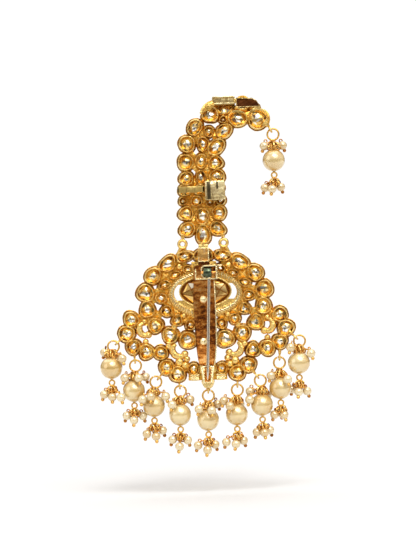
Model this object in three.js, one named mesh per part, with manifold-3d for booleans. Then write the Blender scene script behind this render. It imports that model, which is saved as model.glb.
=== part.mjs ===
// A turban brooch in the kundan style: a fan-shaped openwork plate, a plume that curls over to one side,
// a fringe of pearl drops, and on its back a hinged pin, its catch and two feather holders.
// Millimetres. +X to the right and +Z up as the back is looked at; the back, with the pin, faces -Y.
import * as THREE from "three";
import { mergeVertices } from "three/addons/utils/BufferGeometryUtils.js";
import Module from "manifold-3d";

const wasm = await Module();
wasm.setup();

// Driving dimensions.
const BACK = -1.6; // the raised rims of the cells, on the pin's side
const FRONT = 1.6; // the face of the stones
const FLANGE = 0.45; // how far the front spreads past the rims
const CELL_DEPTH = 1.3; // how deep a cell is hollowed behind its stone
const GAP = 0.3; // between pieces that meet
const CELL_SIDES = 8;
const FACES_PER_STRAND = 5;
const WIRE = 0.35; // radius of the ring and eye wires
const BIG_PEARL = 4.0; // radius
const SMALL_PEARL = 1.6; // radius
const END_BALL = 0.65; // radius
const JUMP_RING = 2.05; // radius to the middle of its wire
const LOW_EYE = 0.95; // radius to the middle of its wire
const EYELET = 1.05; // radius to the middle of its wire
const LEAN = 0.35; // how far a hanging pearl leans outwards for each unit down
const BEND_FROM = 69.6; // the plume's top edge folds forward above this height
const BEND_RADIUS = 3.4; // to the middle of the plume's thickness
const NEEDLE_Y = -5.65; // the pin's needle runs this far behind the plate
const HINGE = { x: 1.2, y: -5.4, z: 14.5 }; // the pin's hinge, at the middle of its knuckle
const NEEDLE = 0.56; // radius
const PINNED_AT = { x: 0.6, y: NEEDLE_Y, z: -6.0 }; // where the needle goes through the cloth: the origin

const table = (columns, rows) =>
  rows.map((row) => Object.fromEntries(columns.split(" ").map((name, i) => [name, row[i]])));

// The plate's cells: centre, half sizes across and up, and how far the outer end turns down, in degrees.
// A cell off the middle line has a mirror image on the other side.
const PLATE_CELLS = table("x z across up turn", [
  // the crest, over the top and down the shoulder
  [0, 20.7, 3.6, 2.6, 0], [6.9, 20.4, 3.4, 2.1, 10], [13.1, 18.0, 3.6, 2.7, 35],
  [18.4, 13.95, 3.4, 2.9, 50], [21.4, 8.0, 3.3, 3.3, 0], [20.9, 2.0, 2.9, 3.2, 0],
  // round the wing and along the lower edge
  [26.7, -1.5, 2.9, 2.9, 0], [28.6, -6.5, 3.1, 3.1, 0], [26.4, -11.2, 2.8, 2.8, 0],
  [21.7, -13.2, 2.9, 2.9, 0], [16.6, -13.8, 2.7, 2.7, 0], [14.7, -19.1, 2.9, 2.9, 0],
  [10.8, -21.7, 3.0, 3.0, 0], [5.1, -20.0, 2.3, 2.3, 0], [0, -25.7, 2.3, 1.5, 0],
  // the small inner row
  [5.7, 15.9, 2.2, 1.7, 0], [10.5, 14.0, 2.4, 1.6, 20], [14.4, 10.6, 2.5, 1.7, 15],
  [15.8, 5.9, 2.4, 2.0, 0], [14.0, 1.2, 2.3, 2.3, 0], [10.35, -2.35, 2.2, 2.2, 0],
  [5.6, -4.0, 2.1, 2.1, 0],
  // the large row below it
  [18.1, -3.8, 2.9, 3.0, 0], [13.0, -7.5, 3.0, 3.1, 0], [6.7, -9.5, 3.3, 3.3, 0],
]);

// The plume's cells, laid flat: none of them is mirrored.
const PLUME_CELLS = table("x z across up turn", [
  [0.1, 28.3, 2.75, 3.8, 0], [-5.4, 30.2, 3.2, 2.6, -30], [5.4, 30.2, 3.2, 2.6, 30],
  [0.2, 34.9, 2.7, 3.3, 0], [-5.6, 36.0, 2.8, 2.8, 0], [6.1, 35.8, 2.8, 2.8, 0],
  [-6.6, 40.5, 1.7, 1.7, 0], [-1.8, 40.3, 2.4, 2.2, 0], [3.1, 39.8, 1.8, 1.8, 0],
  [6.9, 40.3, 2.0, 2.0, 0], [-5.8, 44.4, 2.6, 2.3, 0], [-0.4, 44.4, 2.5, 2.1, 0],
  [5.6, 44.6, 2.9, 2.5, 0], [-5.1, 48.6, 2.8, 2.6, 0], [0.1, 48.8, 2.0, 2.9, 0],
  [5.9, 49.0, 3.0, 2.7, 0], [-5.2, 54.4, 3.0, 3.1, 0], [0.4, 54.6, 2.3, 2.9, 0],
  [5.55, 54.0, 2.9, 2.6, 0], [-4.4, 60.9, 3.1, 3.2, 0], [1.3, 60.8, 2.3, 2.9, 0],
  [6.1, 59.6, 3.6, 2.8, -45], [-1.4, 66.7, 3.3, 2.7, -50], [3.6, 65.2, 1.9, 2.2, 0],
  [9.0, 65.2, 3.4, 2.6, -40], [4.2, 71.2, 3.1, 3.0, 0], [8.8, 69.2, 1.5, 1.4, 0],
  [9.5, 73.2, 2.9, 2.5, 0], [14.2, 69.2, 3.7, 2.8, 0], [21.2, 69.1, 3.7, 3.7, 0],
  [15.7, 74.2, 3.0, 2.3, 0], [20.2, 75.1, 2.6, 2.3, 30], [6.4, 77.3, 2.8, 2.2, 0],
  [12.1, 77.7, 3.2, 2.3, 0],
]);

// The drops: where the jump ring and the big pearl hang, and the cell whose edge holds the ring's eyelet.
const DROPS = table("name ringX ringZ pearlX pearlZ cellX cellZ", [
  ["drop_1", -33.6, -10.9, -34.6, -18.6, -28.6, -6.5],
  ["drop_2", -25.9, -18.1, -26.8, -27.1, -26.4, -11.2],
  ["drop_3", -18.8, -24.2, -19.8, -32.8, -14.7, -19.1],
  ["drop_4", -10.1, -27.9, -10.5, -36.3, -10.8, -21.7],
  ["drop_5", -0.1, -29.8, -0.5, -38.5, 0, -25.7],
  ["drop_6", 10.4, -28.1, 9.9, -36.9, 10.8, -21.7],
  ["drop_7", 18.8, -25.0, 19.1, -33.8, 14.7, -19.1],
  ["drop_8", 25.9, -18.9, 25.9, -28.0, 26.4, -11.2],
  ["drop_9", 33.4, -11.3, 32.9, -19.2, 28.6, -6.5],
  ["tip_drop", 26.6, 63.3, 26.5, 54.0, 25.2, 66.1],
]);

// The small pearls, from the middle of their big one: across, towards the front, and up.
// "top" ones hang over its shoulders from its wire, "low" ones below it from its lower eye.
const SMALL_PEARLS = table("drop place x y z", [
  ["drop_1", "top", -2.4, 1.9, 5.6], ["drop_1", "top", 1.6, 4.6, 4.2], ["drop_1", "top", 4.1, -2.7, 3.3],
  ["drop_1", "low", -2.9, -0.4, -9.4], ["drop_1", "low", 0.0, -1.2, -10.4], ["drop_1", "low", 3.2, -3.0, -10.6],
  ["drop_2", "top", -3.1, -1.5, 4.8], ["drop_2", "top", 2.0, -3.3, 4.6], ["drop_2", "top", 4.3, 2.3, 4.7],
  ["drop_2", "low", -2.9, 0.4, -8.9], ["drop_2", "low", -0.3, -1.2, -10.5], ["drop_2", "low", 2.9, 0.3, -9.2],
  ["drop_3", "top", -3.9, -4.2, 2.7], ["drop_3", "top", -0.8, -4.7, 3.6], ["drop_3", "top", 4.4, -2.2, 3.4],
  ["drop_3", "low", -2.9, -0.4, -10.0], ["drop_3", "low", 0.4, -1.1, -10.9], ["drop_3", "low", 2.8, 0.8, -9.0],
  ["drop_4", "top", -2.7, -3.7, 3.9], ["drop_4", "top", 3.8, 0.5, 5.3], ["drop_4", "top", -0.6, 5.0, 3.3],
  ["drop_4", "low", -3.0, 0.4, -8.9], ["drop_4", "low", -0.6, -0.9, -11.4], ["drop_4", "low", 2.4, 0.2, -9.3],
  ["drop_5", "top", -3.1, -3.0, 4.1], ["drop_5", "top", 1.4, -4.5, 3.6], ["drop_5", "top", 3.6, 1.6, 5.4],
  ["drop_5", "low", -3.9, 0.0, -9.1], ["drop_5", "low", -0.6, -1.1, -10.8], ["drop_5", "low", 2.2, 0.5, -9.0],
  ["drop_6", "top", -4.5, -1.9, 5.1], ["drop_6", "top", -2.4, -4.3, 3.3], ["drop_6", "top", 1.4, 4.9, 3.3],
  ["drop_6", "low", -4.1, 0.2, -9.9], ["drop_6", "low", -0.7, -1.0, -10.6], ["drop_6", "low", 2.1, 0.7, -9.6],
  ["drop_7", "top", -4.2, -0.3, 5.0], ["drop_7", "top", -4.5, -3.4, 2.2], ["drop_7", "top", 2.2, 4.6, 3.3],
  ["drop_7", "low", -2.2, 0.3, -9.8], ["drop_7", "low", 0.5, -1.1, -10.0], ["drop_7", "low", 2.5, 0.9, -9.3],
  ["drop_8", "top", -3.3, -1.8, 4.6], ["drop_8", "top", 2.6, -4.5, 3.2], ["drop_8", "top", 1.2, 4.9, 3.3],
  ["drop_8", "low", -2.5, 0.0, -9.5], ["drop_8", "low", 1.0, -0.6, -9.7], ["drop_8", "low", 0.2, 2.4, -9.2],
  ["drop_9", "top", -2.9, -2.6, 5.7], ["drop_9", "top", 4.4, -2.1, 3.3], ["drop_9", "top", 1.4, 4.8, 3.6],
  ["drop_9", "low", -2.6, 3.8, -9.6], ["drop_9", "low", -0.5, -1.2, -10.4], ["drop_9", "low", 2.6, 0.4, -10.3],
  ["tip_drop", "top", -3.3, -0.4, 5.2], ["tip_drop", "top", 3.4, 0.4, 5.2],
  ["tip_drop", "low", -3.5, 0.3, -9.8], ["tip_drop", "low", -1.0, -1.6, -10.4],
  ["tip_drop", "low", 2.2, 0.6, -9.7],
]);

// --- Solids -------------------------------------------------------------------------------------------

// A closed geometry as a solid that can be joined and cut.
function solid(geometry) {
  const bare = new THREE.BufferGeometry()
    .setAttribute("position", (geometry.index ? geometry.toNonIndexed() : geometry).getAttribute("position"));
  const merged = mergeVertices(bare, 1e-4);
  return new wasm.Manifold(
    new wasm.Mesh({
      numProp: 3,
      vertProperties: merged.attributes.position.array,
      triVerts: new Uint32Array(merged.index.array),
    }),
  );
}

function geometryOf(made) {
  const mesh = made.getMesh();
  const geometry = new THREE.BufferGeometry();
  geometry.setAttribute("position", new THREE.BufferAttribute(mesh.vertProperties, 3));
  geometry.setIndex(new THREE.BufferAttribute(mesh.triVerts, 1));
  return geometry;
}

const join = (geometries) => geometries.map(solid).reduce((a, b) => a.add(b));

// A profile of [radius, y] pairs turned round the Y axis. It runs from the front to the back.
const turnedOnY = (profile, sides) =>
  new THREE.LatheGeometry(profile.map(([r, y]) => new THREE.Vector2(r, y)).reverse(), sides);

// The same round the Z axis, for a profile of [radius, z] pairs that runs from top to bottom.
const turnedOnZ = (profile, sides) => turnedOnY(profile, sides).rotateX(Math.PI / 2);

// A ring of wire whose hole looks along Y.
const wireRing = (radius, wire, around, sides = 5) => new THREE.TorusGeometry(radius, wire, sides, around)
  .rotateX(Math.PI / 2);

// A straight rod between two points.
function rod(from, to, radius, sides = 4) {
  const start = new THREE.Vector3(...from);
  const along = new THREE.Vector3(...to).sub(start);
  const up = new THREE.Vector3(0, 1, 0);
  return new THREE.CylinderGeometry(radius, radius, along.length(), sides)
    .applyQuaternion(new THREE.Quaternion().setFromUnitVectors(up, along.clone().normalize()))
    .translate(...start.addScaledVector(along, 0.5));
}

// A box given by its lower and upper corners.
const block = ([x0, y0, z0], [x1, y1, z1]) => new THREE.BoxGeometry(x1 - x0, y1 - y0, z1 - z0)
  .translate((x0 + x1) / 2, (y0 + y1) / 2, (z0 + z1) / 2);

// An outline in the plane of the plate, as [x, z] pairs, made as thick as y0 to y1.
function slab(outline, y0, y1) {
  const shape = new THREE.Shape(outline.map(([x, z]) => new THREE.Vector2(x, z)));
  return new THREE.ExtrudeGeometry(shape, { depth: y1 - y0, bevelEnabled: false })
    .rotateX(Math.PI / 2).translate(0, y1, 0);
}

// --- The castings -------------------------------------------------------------------------------------

// A cell is hollowed from the back and closed at the front by its stone.
// Its raised rim stands inside the wider front flange.
function cell({ x, z, across, up, turn }, side = 1) {
  const flange = 1 + (2 * FLANGE) / (across + up);
  const profile = [[0, FRONT], [flange, FRONT - 0.5], [1, BACK], [0.72, BACK], [0, BACK + CELL_DEPTH]];
  return turnedOnY(profile, CELL_SIDES)
    .scale(across, 1, up)
    .rotateY(THREE.MathUtils.degToRad(side * turn))
    .translate(side * x, 0, z);
}

// Both of a mirrored pair, or the only one on the middle line.
const pair = (row, make) => (row.x === 0 ? [make(row, 1)] : [make(row, 1), make(row, -1)]);

// An oval band: half sizes of its hole and of its outline.
const ovalBand = (x, z, hole, outline, y0, y1, sides) => {
  const shape = new THREE.Shape().absellipse(x, z, ...outline, 0, 2 * Math.PI);
  shape.holes.push(new THREE.Path().absellipse(x, z, ...hole, 0, 2 * Math.PI));
  return new THREE.ExtrudeGeometry(shape, { depth: y1 - y0, bevelEnabled: false, curveSegments: sides })
    .rotateX(Math.PI / 2).translate(0, y1, 0);
};

// A wire bent round an arc in the plane of the plate, from one angle to another.
function arcWire(x, z, radius, from, to, wire, steps) {
  const path = new THREE.CatmullRomCurve3(Array.from({ length: steps + 1 }, (_, i) => {
    const angle = THREE.MathUtils.degToRad(from + ((to - from) * i) / steps);
    return new THREE.Vector3(x + radius * Math.cos(angle), 0, z + radius * Math.sin(angle));
  }));
  const section = new THREE.Shape().absarc(0, 0, wire, 0, 2 * Math.PI);
  return new THREE.ExtrudeGeometry(section, { steps, extrudePath: path, curveSegments: 5 });
}

// Solid beads that fill the corners between cells.
const BEADS = table("x z radius", [
  [13.6, -11.4, 1.3], [8.0, -18.6, 1.4], [10.0, -17.4, 1.6], [21.9, -9.6, 1.1], [24.0, -3.8, 1.1],
  [11.5, -4.6, 1.2],
]);

// A swirl that ends in a ball.
const SWIRLS = table("x z radius from to", [[21.8, -5.0, 2.3, 245, 430], [9.9, -12.9, 2.5, 220, 420]]);

function swirl({ x, z, radius, from, to }, side) {
  const bend = arcWire(x, z, radius, from, to, 0.75, 6);
  const angle = THREE.MathUtils.degToRad(from);
  const ball = new THREE.IcosahedronGeometry(1.3, 0)
    .translate(x + radius * Math.cos(angle), 0, z + radius * Math.sin(angle));
  const both = join([bend, ball]);
  return geometryOf(side === 1 ? both : both.mirror([1, 0, 0]));
}

// Where a drop's jump ring meets its eyelet, which stands edge-on to the plate.
function eyelet({ ringX, ringZ, cellX, cellZ }) {
  const towards = new THREE.Vector2(cellX - ringX, cellZ - ringZ).normalize();
  const [x, z] = [ringX + towards.x * JUMP_RING, ringZ + towards.y * JUMP_RING];
  const along = (distance) => [x + towards.x * distance, 0, z + towards.y * distance];
  return [
    new THREE.TorusGeometry(EYELET, WIRE, 4, 8).rotateY(-Math.atan2(towards.y, towards.x)).translate(x, 0, z),
    rod(along(EYELET), along(EYELET + 2.4), 0.55),
  ];
}

const SETTING = { x: 0.2, z: 7.8, across: 9.5, up: 5.7, wall: 0.9 };

function plateFrame() {
  const { x, z, across, up, wall } = SETTING;
  const links = [1, -1].flatMap((side) => [
    wireRing(1.35, 0.6, 10).scale(1, 1.6, 1).translate(side * 7.4, 0, 25.0),
    rod([side * 8.0, 0, 23.8], [side * 9.3, 0, 20.2], 0.7, 5),
    rod([side * 6.6, 0, 23.9], [side * 5.6, 0, 20.5], 0.5, 5),
  ]);
  const webs = [[z + 2.6, z + up], [z - 6.4, z - 3.0]].map(([low, high]) =>
    solid(block([x - across, BACK + 0.7, low], [x + across, FRONT - 0.7, high])));
  const opening = solid(new THREE.CylinderGeometry(1, 1, 6, 16)
    .scale(across - 0.6 * wall, 1, up - 0.6 * wall).translate(x, 0, z));
  const beads = BEADS.flatMap((row) => pair(row, ({ x: across, z: height, radius }, side) =>
    new THREE.IcosahedronGeometry(radius, 0).translate(side * across, 0, height)));
  const solids = join([
    ...PLATE_CELLS.flatMap((row) => pair(row, cell)),
    ovalBand(x, z, [across - wall, up - wall], [across, up], BACK, FRONT, 12),
    ovalBand(x, z - 0.5, [11.2, 6.0], [13.7, 8.8], BACK + 0.5, FRONT - 0.5, 12),
    ...SWIRLS.flatMap((row) => pair(row, swirl)),
    ...beads,
    ...links,
    block([-7.2, 0.2, -24.3], [7.2, FRONT - 0.4, -20.5]),
    block([-3.0, -0.9, -21.5], [3.0, 0.9, -12.0]),
    block([-4.5, -0.6, 15.3], [4.5, 0.9, 18.6]),
    slab([[-1.2, -26.3], [0, -27.6], [1.2, -26.3]], -0.8, 0.8),
    ...DROPS.filter(({ name }) => name !== "tip_drop").flatMap(eyelet),
  ]);
  return geometryOf(webs.reduce((all, web) => all.add(web.subtract(opening)), solids));
}

// The plume's top edge folds forward through a quarter turn and then runs level.
function foldForward(geometry) {
  const position = geometry.getAttribute("position");
  const quarter = Math.PI / 2;
  for (let i = 0; i < position.count; i++) {
    const [y, over] = [position.getY(i), position.getZ(i) - BEND_FROM];
    if (over <= 0) continue;
    const angle = Math.min(over / BEND_RADIUS, quarter);
    const past = Math.max(over - BEND_RADIUS * quarter, 0);
    position.setY(i, BEND_RADIUS - (BEND_RADIUS - y) * Math.cos(angle) + past);
    position.setZ(i, BEND_FROM + (BEND_RADIUS - y) * Math.sin(angle));
  }
  return geometry;
}

function plumeFrame() {
  const tip = slab([[22.4, 66.6], [24.9, 66.4], [24.6, 69.5]], -1.2, 1.2);
  const solids = join([...PLUME_CELLS.map((row) => cell(row)), tip,
    ...eyelet(DROPS.find(({ name }) => name === "tip_drop"))]);
  return foldForward(geometryOf(solids));
}

// --- The centre stone ---------------------------------------------------------------------------------

// A flat rose-cut stone that fills the oval setting, seen from behind through its open back.
function centreStone() {
  const { x, z, across, up, wall } = SETTING;
  const profile = [[0, 1.5], [0.7, 1.3], [1, 0.3], [1, -0.4], [0.62, -1.0], [0, -1.2]];
  return turnedOnY(profile, 16)
    .scale(across - wall - GAP, 1, up - wall - GAP)
    .translate(x, 0, z);
}

// --- The pin and what carries it ----------------------------------------------------------------------

const PRONG = { near: BACK - GAP, far: BACK - GAP - 0.8 }; // the long back plate, its two faces

// The left and right edges of the boat-shaped back plate at some heights.
const PRONG_SHAPE = table("z left right", [
  [16.6, -3.5, 3.2], [11.5, -4.0, 3.7], [4.7, -4.2, 3.85], [-5.0, -4.1, 3.85], [-11.5, -3.85, 3.7],
  [-16.0, -3.4, 3.2], [-18.7, -2.9, 2.7],
]);
const RIVETS = table("name x z", [["rivet_upper", -0.6, 4.9], ["rivet_lower", -1.1, -10.2]]);

// The plate has a hole for each rivet, and its right edge is turned up.
function prongPlate() {
  const outline = [
    ...PRONG_SHAPE.map(({ z, right }) => [right, z]),
    ...PRONG_SHAPE.map(({ z, left }) => [left, z]).reverse(),
  ];
  let plate = solid(slab(outline, PRONG.far, PRONG.near));
  const edge = PRONG_SHAPE.filter(({ z }) => z < 12);
  const lip = [
    ...edge.map(({ z, right }) => [right, z]),
    ...edge.map(({ z, right }) => [right - 0.45, z]).reverse(),
  ];
  plate = plate.add(solid(slab(lip, PRONG.far - 0.9, PRONG.far + 0.1)));
  for (const { x, z } of RIVETS)
    plate = plate.subtract(solid(rod([x, PRONG.far - 1, z], [x, PRONG.near + 1, z], 0.9, 10)));
  return geometryOf(plate);
}

// A domed head behind the plate and a shank through it.
function rivet({ x, z }) {
  const head = PRONG.far - GAP;
  const profile = [[0, PRONG.near], [0.6, PRONG.near], [0.6, head], [1.4, head],
    [1.25, head - 0.5], [0.7, head - 0.9], [0, head - 1.0]];
  return turnedOnY(profile, 12).translate(x, 0, z);
}

// A shallow box, open towards the back and below, whose cheeks carry the axle.
function hingeHousing() {
  const [left, right, low, high] = [-1.15, 4.75, 12.0, 17.15];
  const floor = PRONG.far - GAP;
  const far = HINGE.y - 1.1;
  const wall = 0.5;
  const tray = join([
    block([left - 2.2, floor - 0.4, low], [right, floor, high]),
    block([left, far, low], [left + wall, floor, high]),
    block([right - wall, far, low], [right, floor, high]),
    block([left, far, high - wall], [right + 1.7, floor, high]),
  ]);
  const axle = rod([left, HINGE.y, HINGE.z], [right, HINGE.y, HINGE.z], 0.45, 10);
  return geometryOf(tray.add(solid(axle)));
}

// A knuckle that turns on the axle, with the needle soldered to its lower side.
function pinStem() {
  const knuckle = new THREE.CylinderGeometry(1.85, 1.85, 3.0, 14).rotateZ(Math.PI / 2)
    .translate(HINGE.x, HINGE.y, HINGE.z);
  const bore = rod([HINGE.x - 4, HINGE.y, HINGE.z], [HINGE.x + 4, HINGE.y, HINGE.z], 0.8, 10);
  const root = [HINGE.x + 0.5, NEEDLE_Y, HINGE.z - 1.3];
  const shoulder = [0.05, NEEDLE_Y, -20.5];
  const shaft = rod(root, shoulder, NEEDLE, 8);
  const lean = new THREE.Vector3(...shoulder).sub(new THREE.Vector3(...root)).normalize();
  const tip = new THREE.ConeGeometry(NEEDLE, 3.6, 8)
    .applyQuaternion(new THREE.Quaternion().setFromUnitVectors(new THREE.Vector3(0, 1, 0), lean))
    .translate(shoulder[0] + lean.x * 1.75, shoulder[1] + lean.y * 1.75, shoulder[2] + lean.z * 1.75);
  return geometryOf(solid(knuckle).subtract(solid(bore)).add(solid(shaft)).add(solid(tip)));
}

// A trough folded to a V, closed at its lower end, that holds the needle's point.
function pinCatch() {
  const [top, bottom] = [-19.0, -24.9];
  const inner = { top: 2.0, bottom: 1.2 };
  const wall = 0.45;
  const floor = PRONG.near;
  const far = NEEDLE_Y - 0.9;
  const outline = (grow, z0, z1) => [[-inner.top - grow, z0], [-inner.bottom - grow, z1],
    [inner.bottom + grow, z1], [inner.top + grow, z0]];
  const body = solid(slab(outline(wall, top, bottom), far, floor));
  const hollow = solid(slab(outline(0, top + 1, bottom + wall), far - 1, floor - 0.6));
  return geometryOf(body.subtract(hollow).translate(-0.05, 0, 0));
}

// A flat strip, with one edge turned up, that ties the plume's lowest leaf to the plate.
function neckBracket() {
  const [near, far] = [BACK - GAP, BACK - GAP - 0.6];
  return geometryOf(join([
    block([-2.0, far, 17.4], [2.0, near, 24.6]),
    block([1.6, far - 0.6, 17.4], [2.0, far + 0.1, 24.6]),
    block([-2.0, far - 0.4, 17.4], [2.0, far + 0.1, 17.9]),
  ]));
}

// --- The feather holders ------------------------------------------------------------------------------

// A square-edged tube that is open at both ends, with its length along Z.
function boxTube(width, depth, length) {
  const wall = 0.5;
  const outer = block([-width / 2, -depth, -length / 2], [width / 2, 0, length / 2]);
  const inner = block([-width / 2 + wall, -depth + wall, -length], [width / 2 - wall, -wall, length]);
  return solid(outer).subtract(solid(inner));
}

const MID_TUBE = { x: 5.0, z: 43.8, width: 7.2, depth: 3.0, length: 6.7 };
const TOP_TUBE = { x: 9.25, z: BEND_FROM + BEND_RADIUS - BACK + GAP, width: 8.3, depth: 2.9, length: 5.0 };

const midTube = () =>
  geometryOf(boxTube(MID_TUBE.width, MID_TUBE.depth, MID_TUBE.length)
    .translate(MID_TUBE.x, BACK - GAP, MID_TUBE.z));

// The upper tube lies along the folded edge, so its mouth looks back. Its front end is closed.
function topTube() {
  const { x, z, width, depth, length } = TOP_TUBE;
  const end = block([-width / 2, -depth, -length / 2], [width / 2, 0, 0.6 - length / 2]);
  return geometryOf(boxTube(width, depth, length).add(solid(end)))
    .rotateX(-Math.PI / 2)
    .translate(x, 0.9 + length / 2, z);
}

// A band that stands off the plume, level with the tube, and is bent down to the frame at its far end.
function midStrap() {
  const [low, high] = [43.3, 45.5];
  const right = MID_TUBE.x - MID_TUBE.width / 2 - GAP;
  const near = BACK - GAP;
  return geometryOf(join([
    block([-8.5, near - 2.4, low], [right, near - 1.8, high]),
    block([-8.5, near - 2.4, low], [-7.9, near, high]),
    block([right - 0.6, near - 2.4, low], [right, near, high]),
  ]));
}

// A band from the upper tube to the frame's shoulder, with a wall in front and a knob on it.
// It sits over the fold, so its lower side is cut round.
function topStrap() {
  const left = TOP_TUBE.x + TOP_TUBE.width / 2 + GAP;
  const [y0, y1] = [-0.4, 3.8];
  const [foot, top] = [TOP_TUBE.z - 1.4, TOP_TUBE.z + 2.1];
  const outline = (inset) => [[left + inset, foot + inset], [22.4 - inset, foot + inset],
    [21.2 - inset / 2, top - 1.3 - inset / 2], [19.4, top - 0.2 - inset], [left + inset, top - inset]];
  const fold = new THREE.CylinderGeometry(1, 1, 30, 32).rotateZ(Math.PI / 2)
    .scale(1, BEND_RADIUS - BACK + GAP, BEND_RADIUS - BACK + GAP).translate(left + 5, BEND_RADIUS, BEND_FROM);
  const bump = new THREE.CylinderGeometry(2.0, 2.0, 1.4, 12).scale(1.15, 1, 0.8)
    .translate(left + 2.4, y1 + 0.4, top - 0.5);
  const hollow = solid(slab(outline(0.45), y0 - 1, y0 + 0.8));
  return geometryOf(join([slab(outline(0), y0, y1), bump]).subtract(hollow).subtract(solid(fold)));
}

// --- The drops ----------------------------------------------------------------------------------------

const EYE_Z = -BIG_PEARL - LOW_EYE - WIRE; // the middle of the eye below the big pearl
const COLLAR = { low: BIG_PEARL + 0.15, high: BIG_PEARL + 1.0, radius: 1.15 };
const KNOT_Z = EYE_Z - LOW_EYE - WIRE - GAP - 0.7;

// The jump ring, the wire through the big pearl and the eye under it.
function hanger({ ringX, ringZ, pearlX, pearlZ }) {
  const [dx, dz] = [ringX - pearlX, ringZ - pearlZ];
  const meets = dz - Math.sqrt(JUMP_RING ** 2 - dx ** 2);
  return geometryOf(join([
    wireRing(JUMP_RING, WIRE, 11, 4).translate(dx, 0, dz),
    rod([0, 0, meets], [0, 0, EYE_Z + LOW_EYE], WIRE),
    wireRing(LOW_EYE, WIRE * 0.85, 7, 4).translate(0, 0, EYE_Z),
  ]));
}

// A pearl bored from top to bottom.
function bigPearl() {
  const bore = WIRE + GAP;
  const first = Math.asin(bore / BIG_PEARL);
  const bands = 6;
  const arc = Array.from({ length: bands + 1 }, (_, i) => {
    const angle = first + ((Math.PI - 2 * first) * i) / bands;
    return [BIG_PEARL * Math.sin(angle), BIG_PEARL * Math.cos(angle)];
  });
  return turnedOnZ([...arc, arc[0]], 10);
}

// A small pearl that hangs from a wire, with a gold ball under it. The pearl and its ball are one turned
// piece, whose axis leans outwards by LEAN for each unit down.
function strand({ x, y, z }, from) {
  const away = new THREE.Vector2(x - from[0], y - from[1]).normalize();
  const down = new THREE.Vector3(LEAN * away.x, LEAN * away.y, -1).normalize();
  const [neck, shoulder, half] = [0.3, 0.9 * SMALL_PEARL, 0.45 * SMALL_PEARL];
  const ball = SMALL_PEARL + 0.5 * END_BALL;
  const profile = [[0, -SMALL_PEARL], [neck, -SMALL_PEARL], [shoulder, -half], [shoulder, half],
    [neck, SMALL_PEARL - 0.1], [END_BALL, ball], [0, ball + END_BALL]];
  const head = new THREE.Vector3(x, y, z).addScaledVector(down, 0.1 - SMALL_PEARL);
  const bead = turnedOnY(profile.reverse(), FACES_PER_STRAND)
    .applyQuaternion(new THREE.Quaternion().setFromUnitVectors(new THREE.Vector3(0, 1, 0), down))
    .translate(x, y, z);
  return [rod(from, head.toArray(), 0.25), bead];
}

const smallPearls = (drop, place) => SMALL_PEARLS.filter((row) => row.drop === drop && row.place === place);

// The upper ones hang from a wound collar round the big pearl's wire.
function topCluster(name) {
  const { low, high, radius } = COLLAR;
  const bore = WIRE + GAP;
  const collar = turnedOnZ([[bore, high], [radius, high], [radius, low], [bore, low], [bore, high]], 6);
  const strands = smallPearls(name, "top").flatMap((row) => {
    const turn = Math.atan2(row.y, row.x);
    const middle = (bore + radius) / 2;
    return strand(row, [middle * Math.cos(turn), middle * Math.sin(turn), (low + high) / 2]);
  });
  return geometryOf(join([collar, ...strands]));
}

// The lower ones hang from a knot under the big pearl's eye.
function lowCluster(name) {
  const knot = new THREE.IcosahedronGeometry(0.7, 0).translate(0, 0, KNOT_Z);
  return geometryOf(join([knot, ...smallPearls(name, "low").flatMap((row) => strand(row, [0, 0, KNOT_Z]))]));
}

// --- Materials and assembly ---------------------------------------------------------------------------

const metal = (color, roughness) => new THREE.MeshStandardMaterial({ color, roughness, metalness: 1 });
const GOLD = metal(0xd9a441, 0.28);
const BRIGHT_GOLD = metal(0xc9b47a, 0.2);
const MIRROR_GOLD = metal(0x9a5a20, 0.12);
const STEEL = metal(0xb4b0a4, 0.25);
const PEARL = new THREE.MeshStandardMaterial({ color: 0xe9dcb4, roughness: 0.22, metalness: 0 });
const STONE = new THREE.MeshStandardMaterial({ color: 0xe8d9a8, roughness: 0.08, metalness: 0 });

const brooch = new THREE.Group();

function add(name, geometry, material, parent = brooch) {
  const mesh = new THREE.Mesh(geometry, material);
  mesh.name = name;
  parent.add(mesh);
  return mesh;
}

add("plate_frame", plateFrame(), GOLD);
add("plume_frame", plumeFrame(), GOLD);
add("centre_stone", centreStone(), STONE);
add("neck_bracket", neckBracket(), BRIGHT_GOLD);
add("prong_plate", prongPlate(), MIRROR_GOLD);
for (const row of RIVETS) add(row.name, rivet(row), BRIGHT_GOLD);
add("hinge_housing", hingeHousing(), BRIGHT_GOLD);
add("pin_stem", pinStem(), STEEL);
add("pin_catch", pinCatch(), BRIGHT_GOLD);
add("mid_tube", midTube(), BRIGHT_GOLD);
add("mid_strap", midStrap(), BRIGHT_GOLD);
add("top_tube", topTube(), BRIGHT_GOLD);
add("top_strap", topStrap(), BRIGHT_GOLD);

for (const drop of DROPS) {
  const group = new THREE.Group();
  group.position.set(drop.pearlX, 0, drop.pearlZ);
  add(`${drop.name}_hanger`, hanger(drop), GOLD, group);
  add(`${drop.name}_pearl`, bigPearl(), PEARL, group);
  add(`${drop.name}_top_cluster`, topCluster(drop.name), PEARL, group);
  add(`${drop.name}_low_cluster`, lowCluster(drop.name), PEARL, group);
  brooch.add(group);
}

brooch.position.set(-PINNED_AT.x, -PINNED_AT.y, -PINNED_AT.z);

const partInItsFrame = new THREE.Group();
partInItsFrame.add(brooch);

export default partInItsFrame;
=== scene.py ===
"""The looks of a turban brooch in the kundan style, seen from its back: gold cells with foiled stones,
a boat-shaped back plate with its hinged pin and catch, two feather holders and a fringe of pearl drops.

Shapes are drawn in millimetres, with the frame's own tables: +X right and +Z up as the back is looked at,
and the back faces -Y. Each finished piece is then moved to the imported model's frame, in metres.
"""
import math
import random

import bmesh
import bpy
from mathutils import Matrix, Vector, noise
from mathutils.geometry import delaunay_2d_cdt, intersect_point_tri_2d


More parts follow.
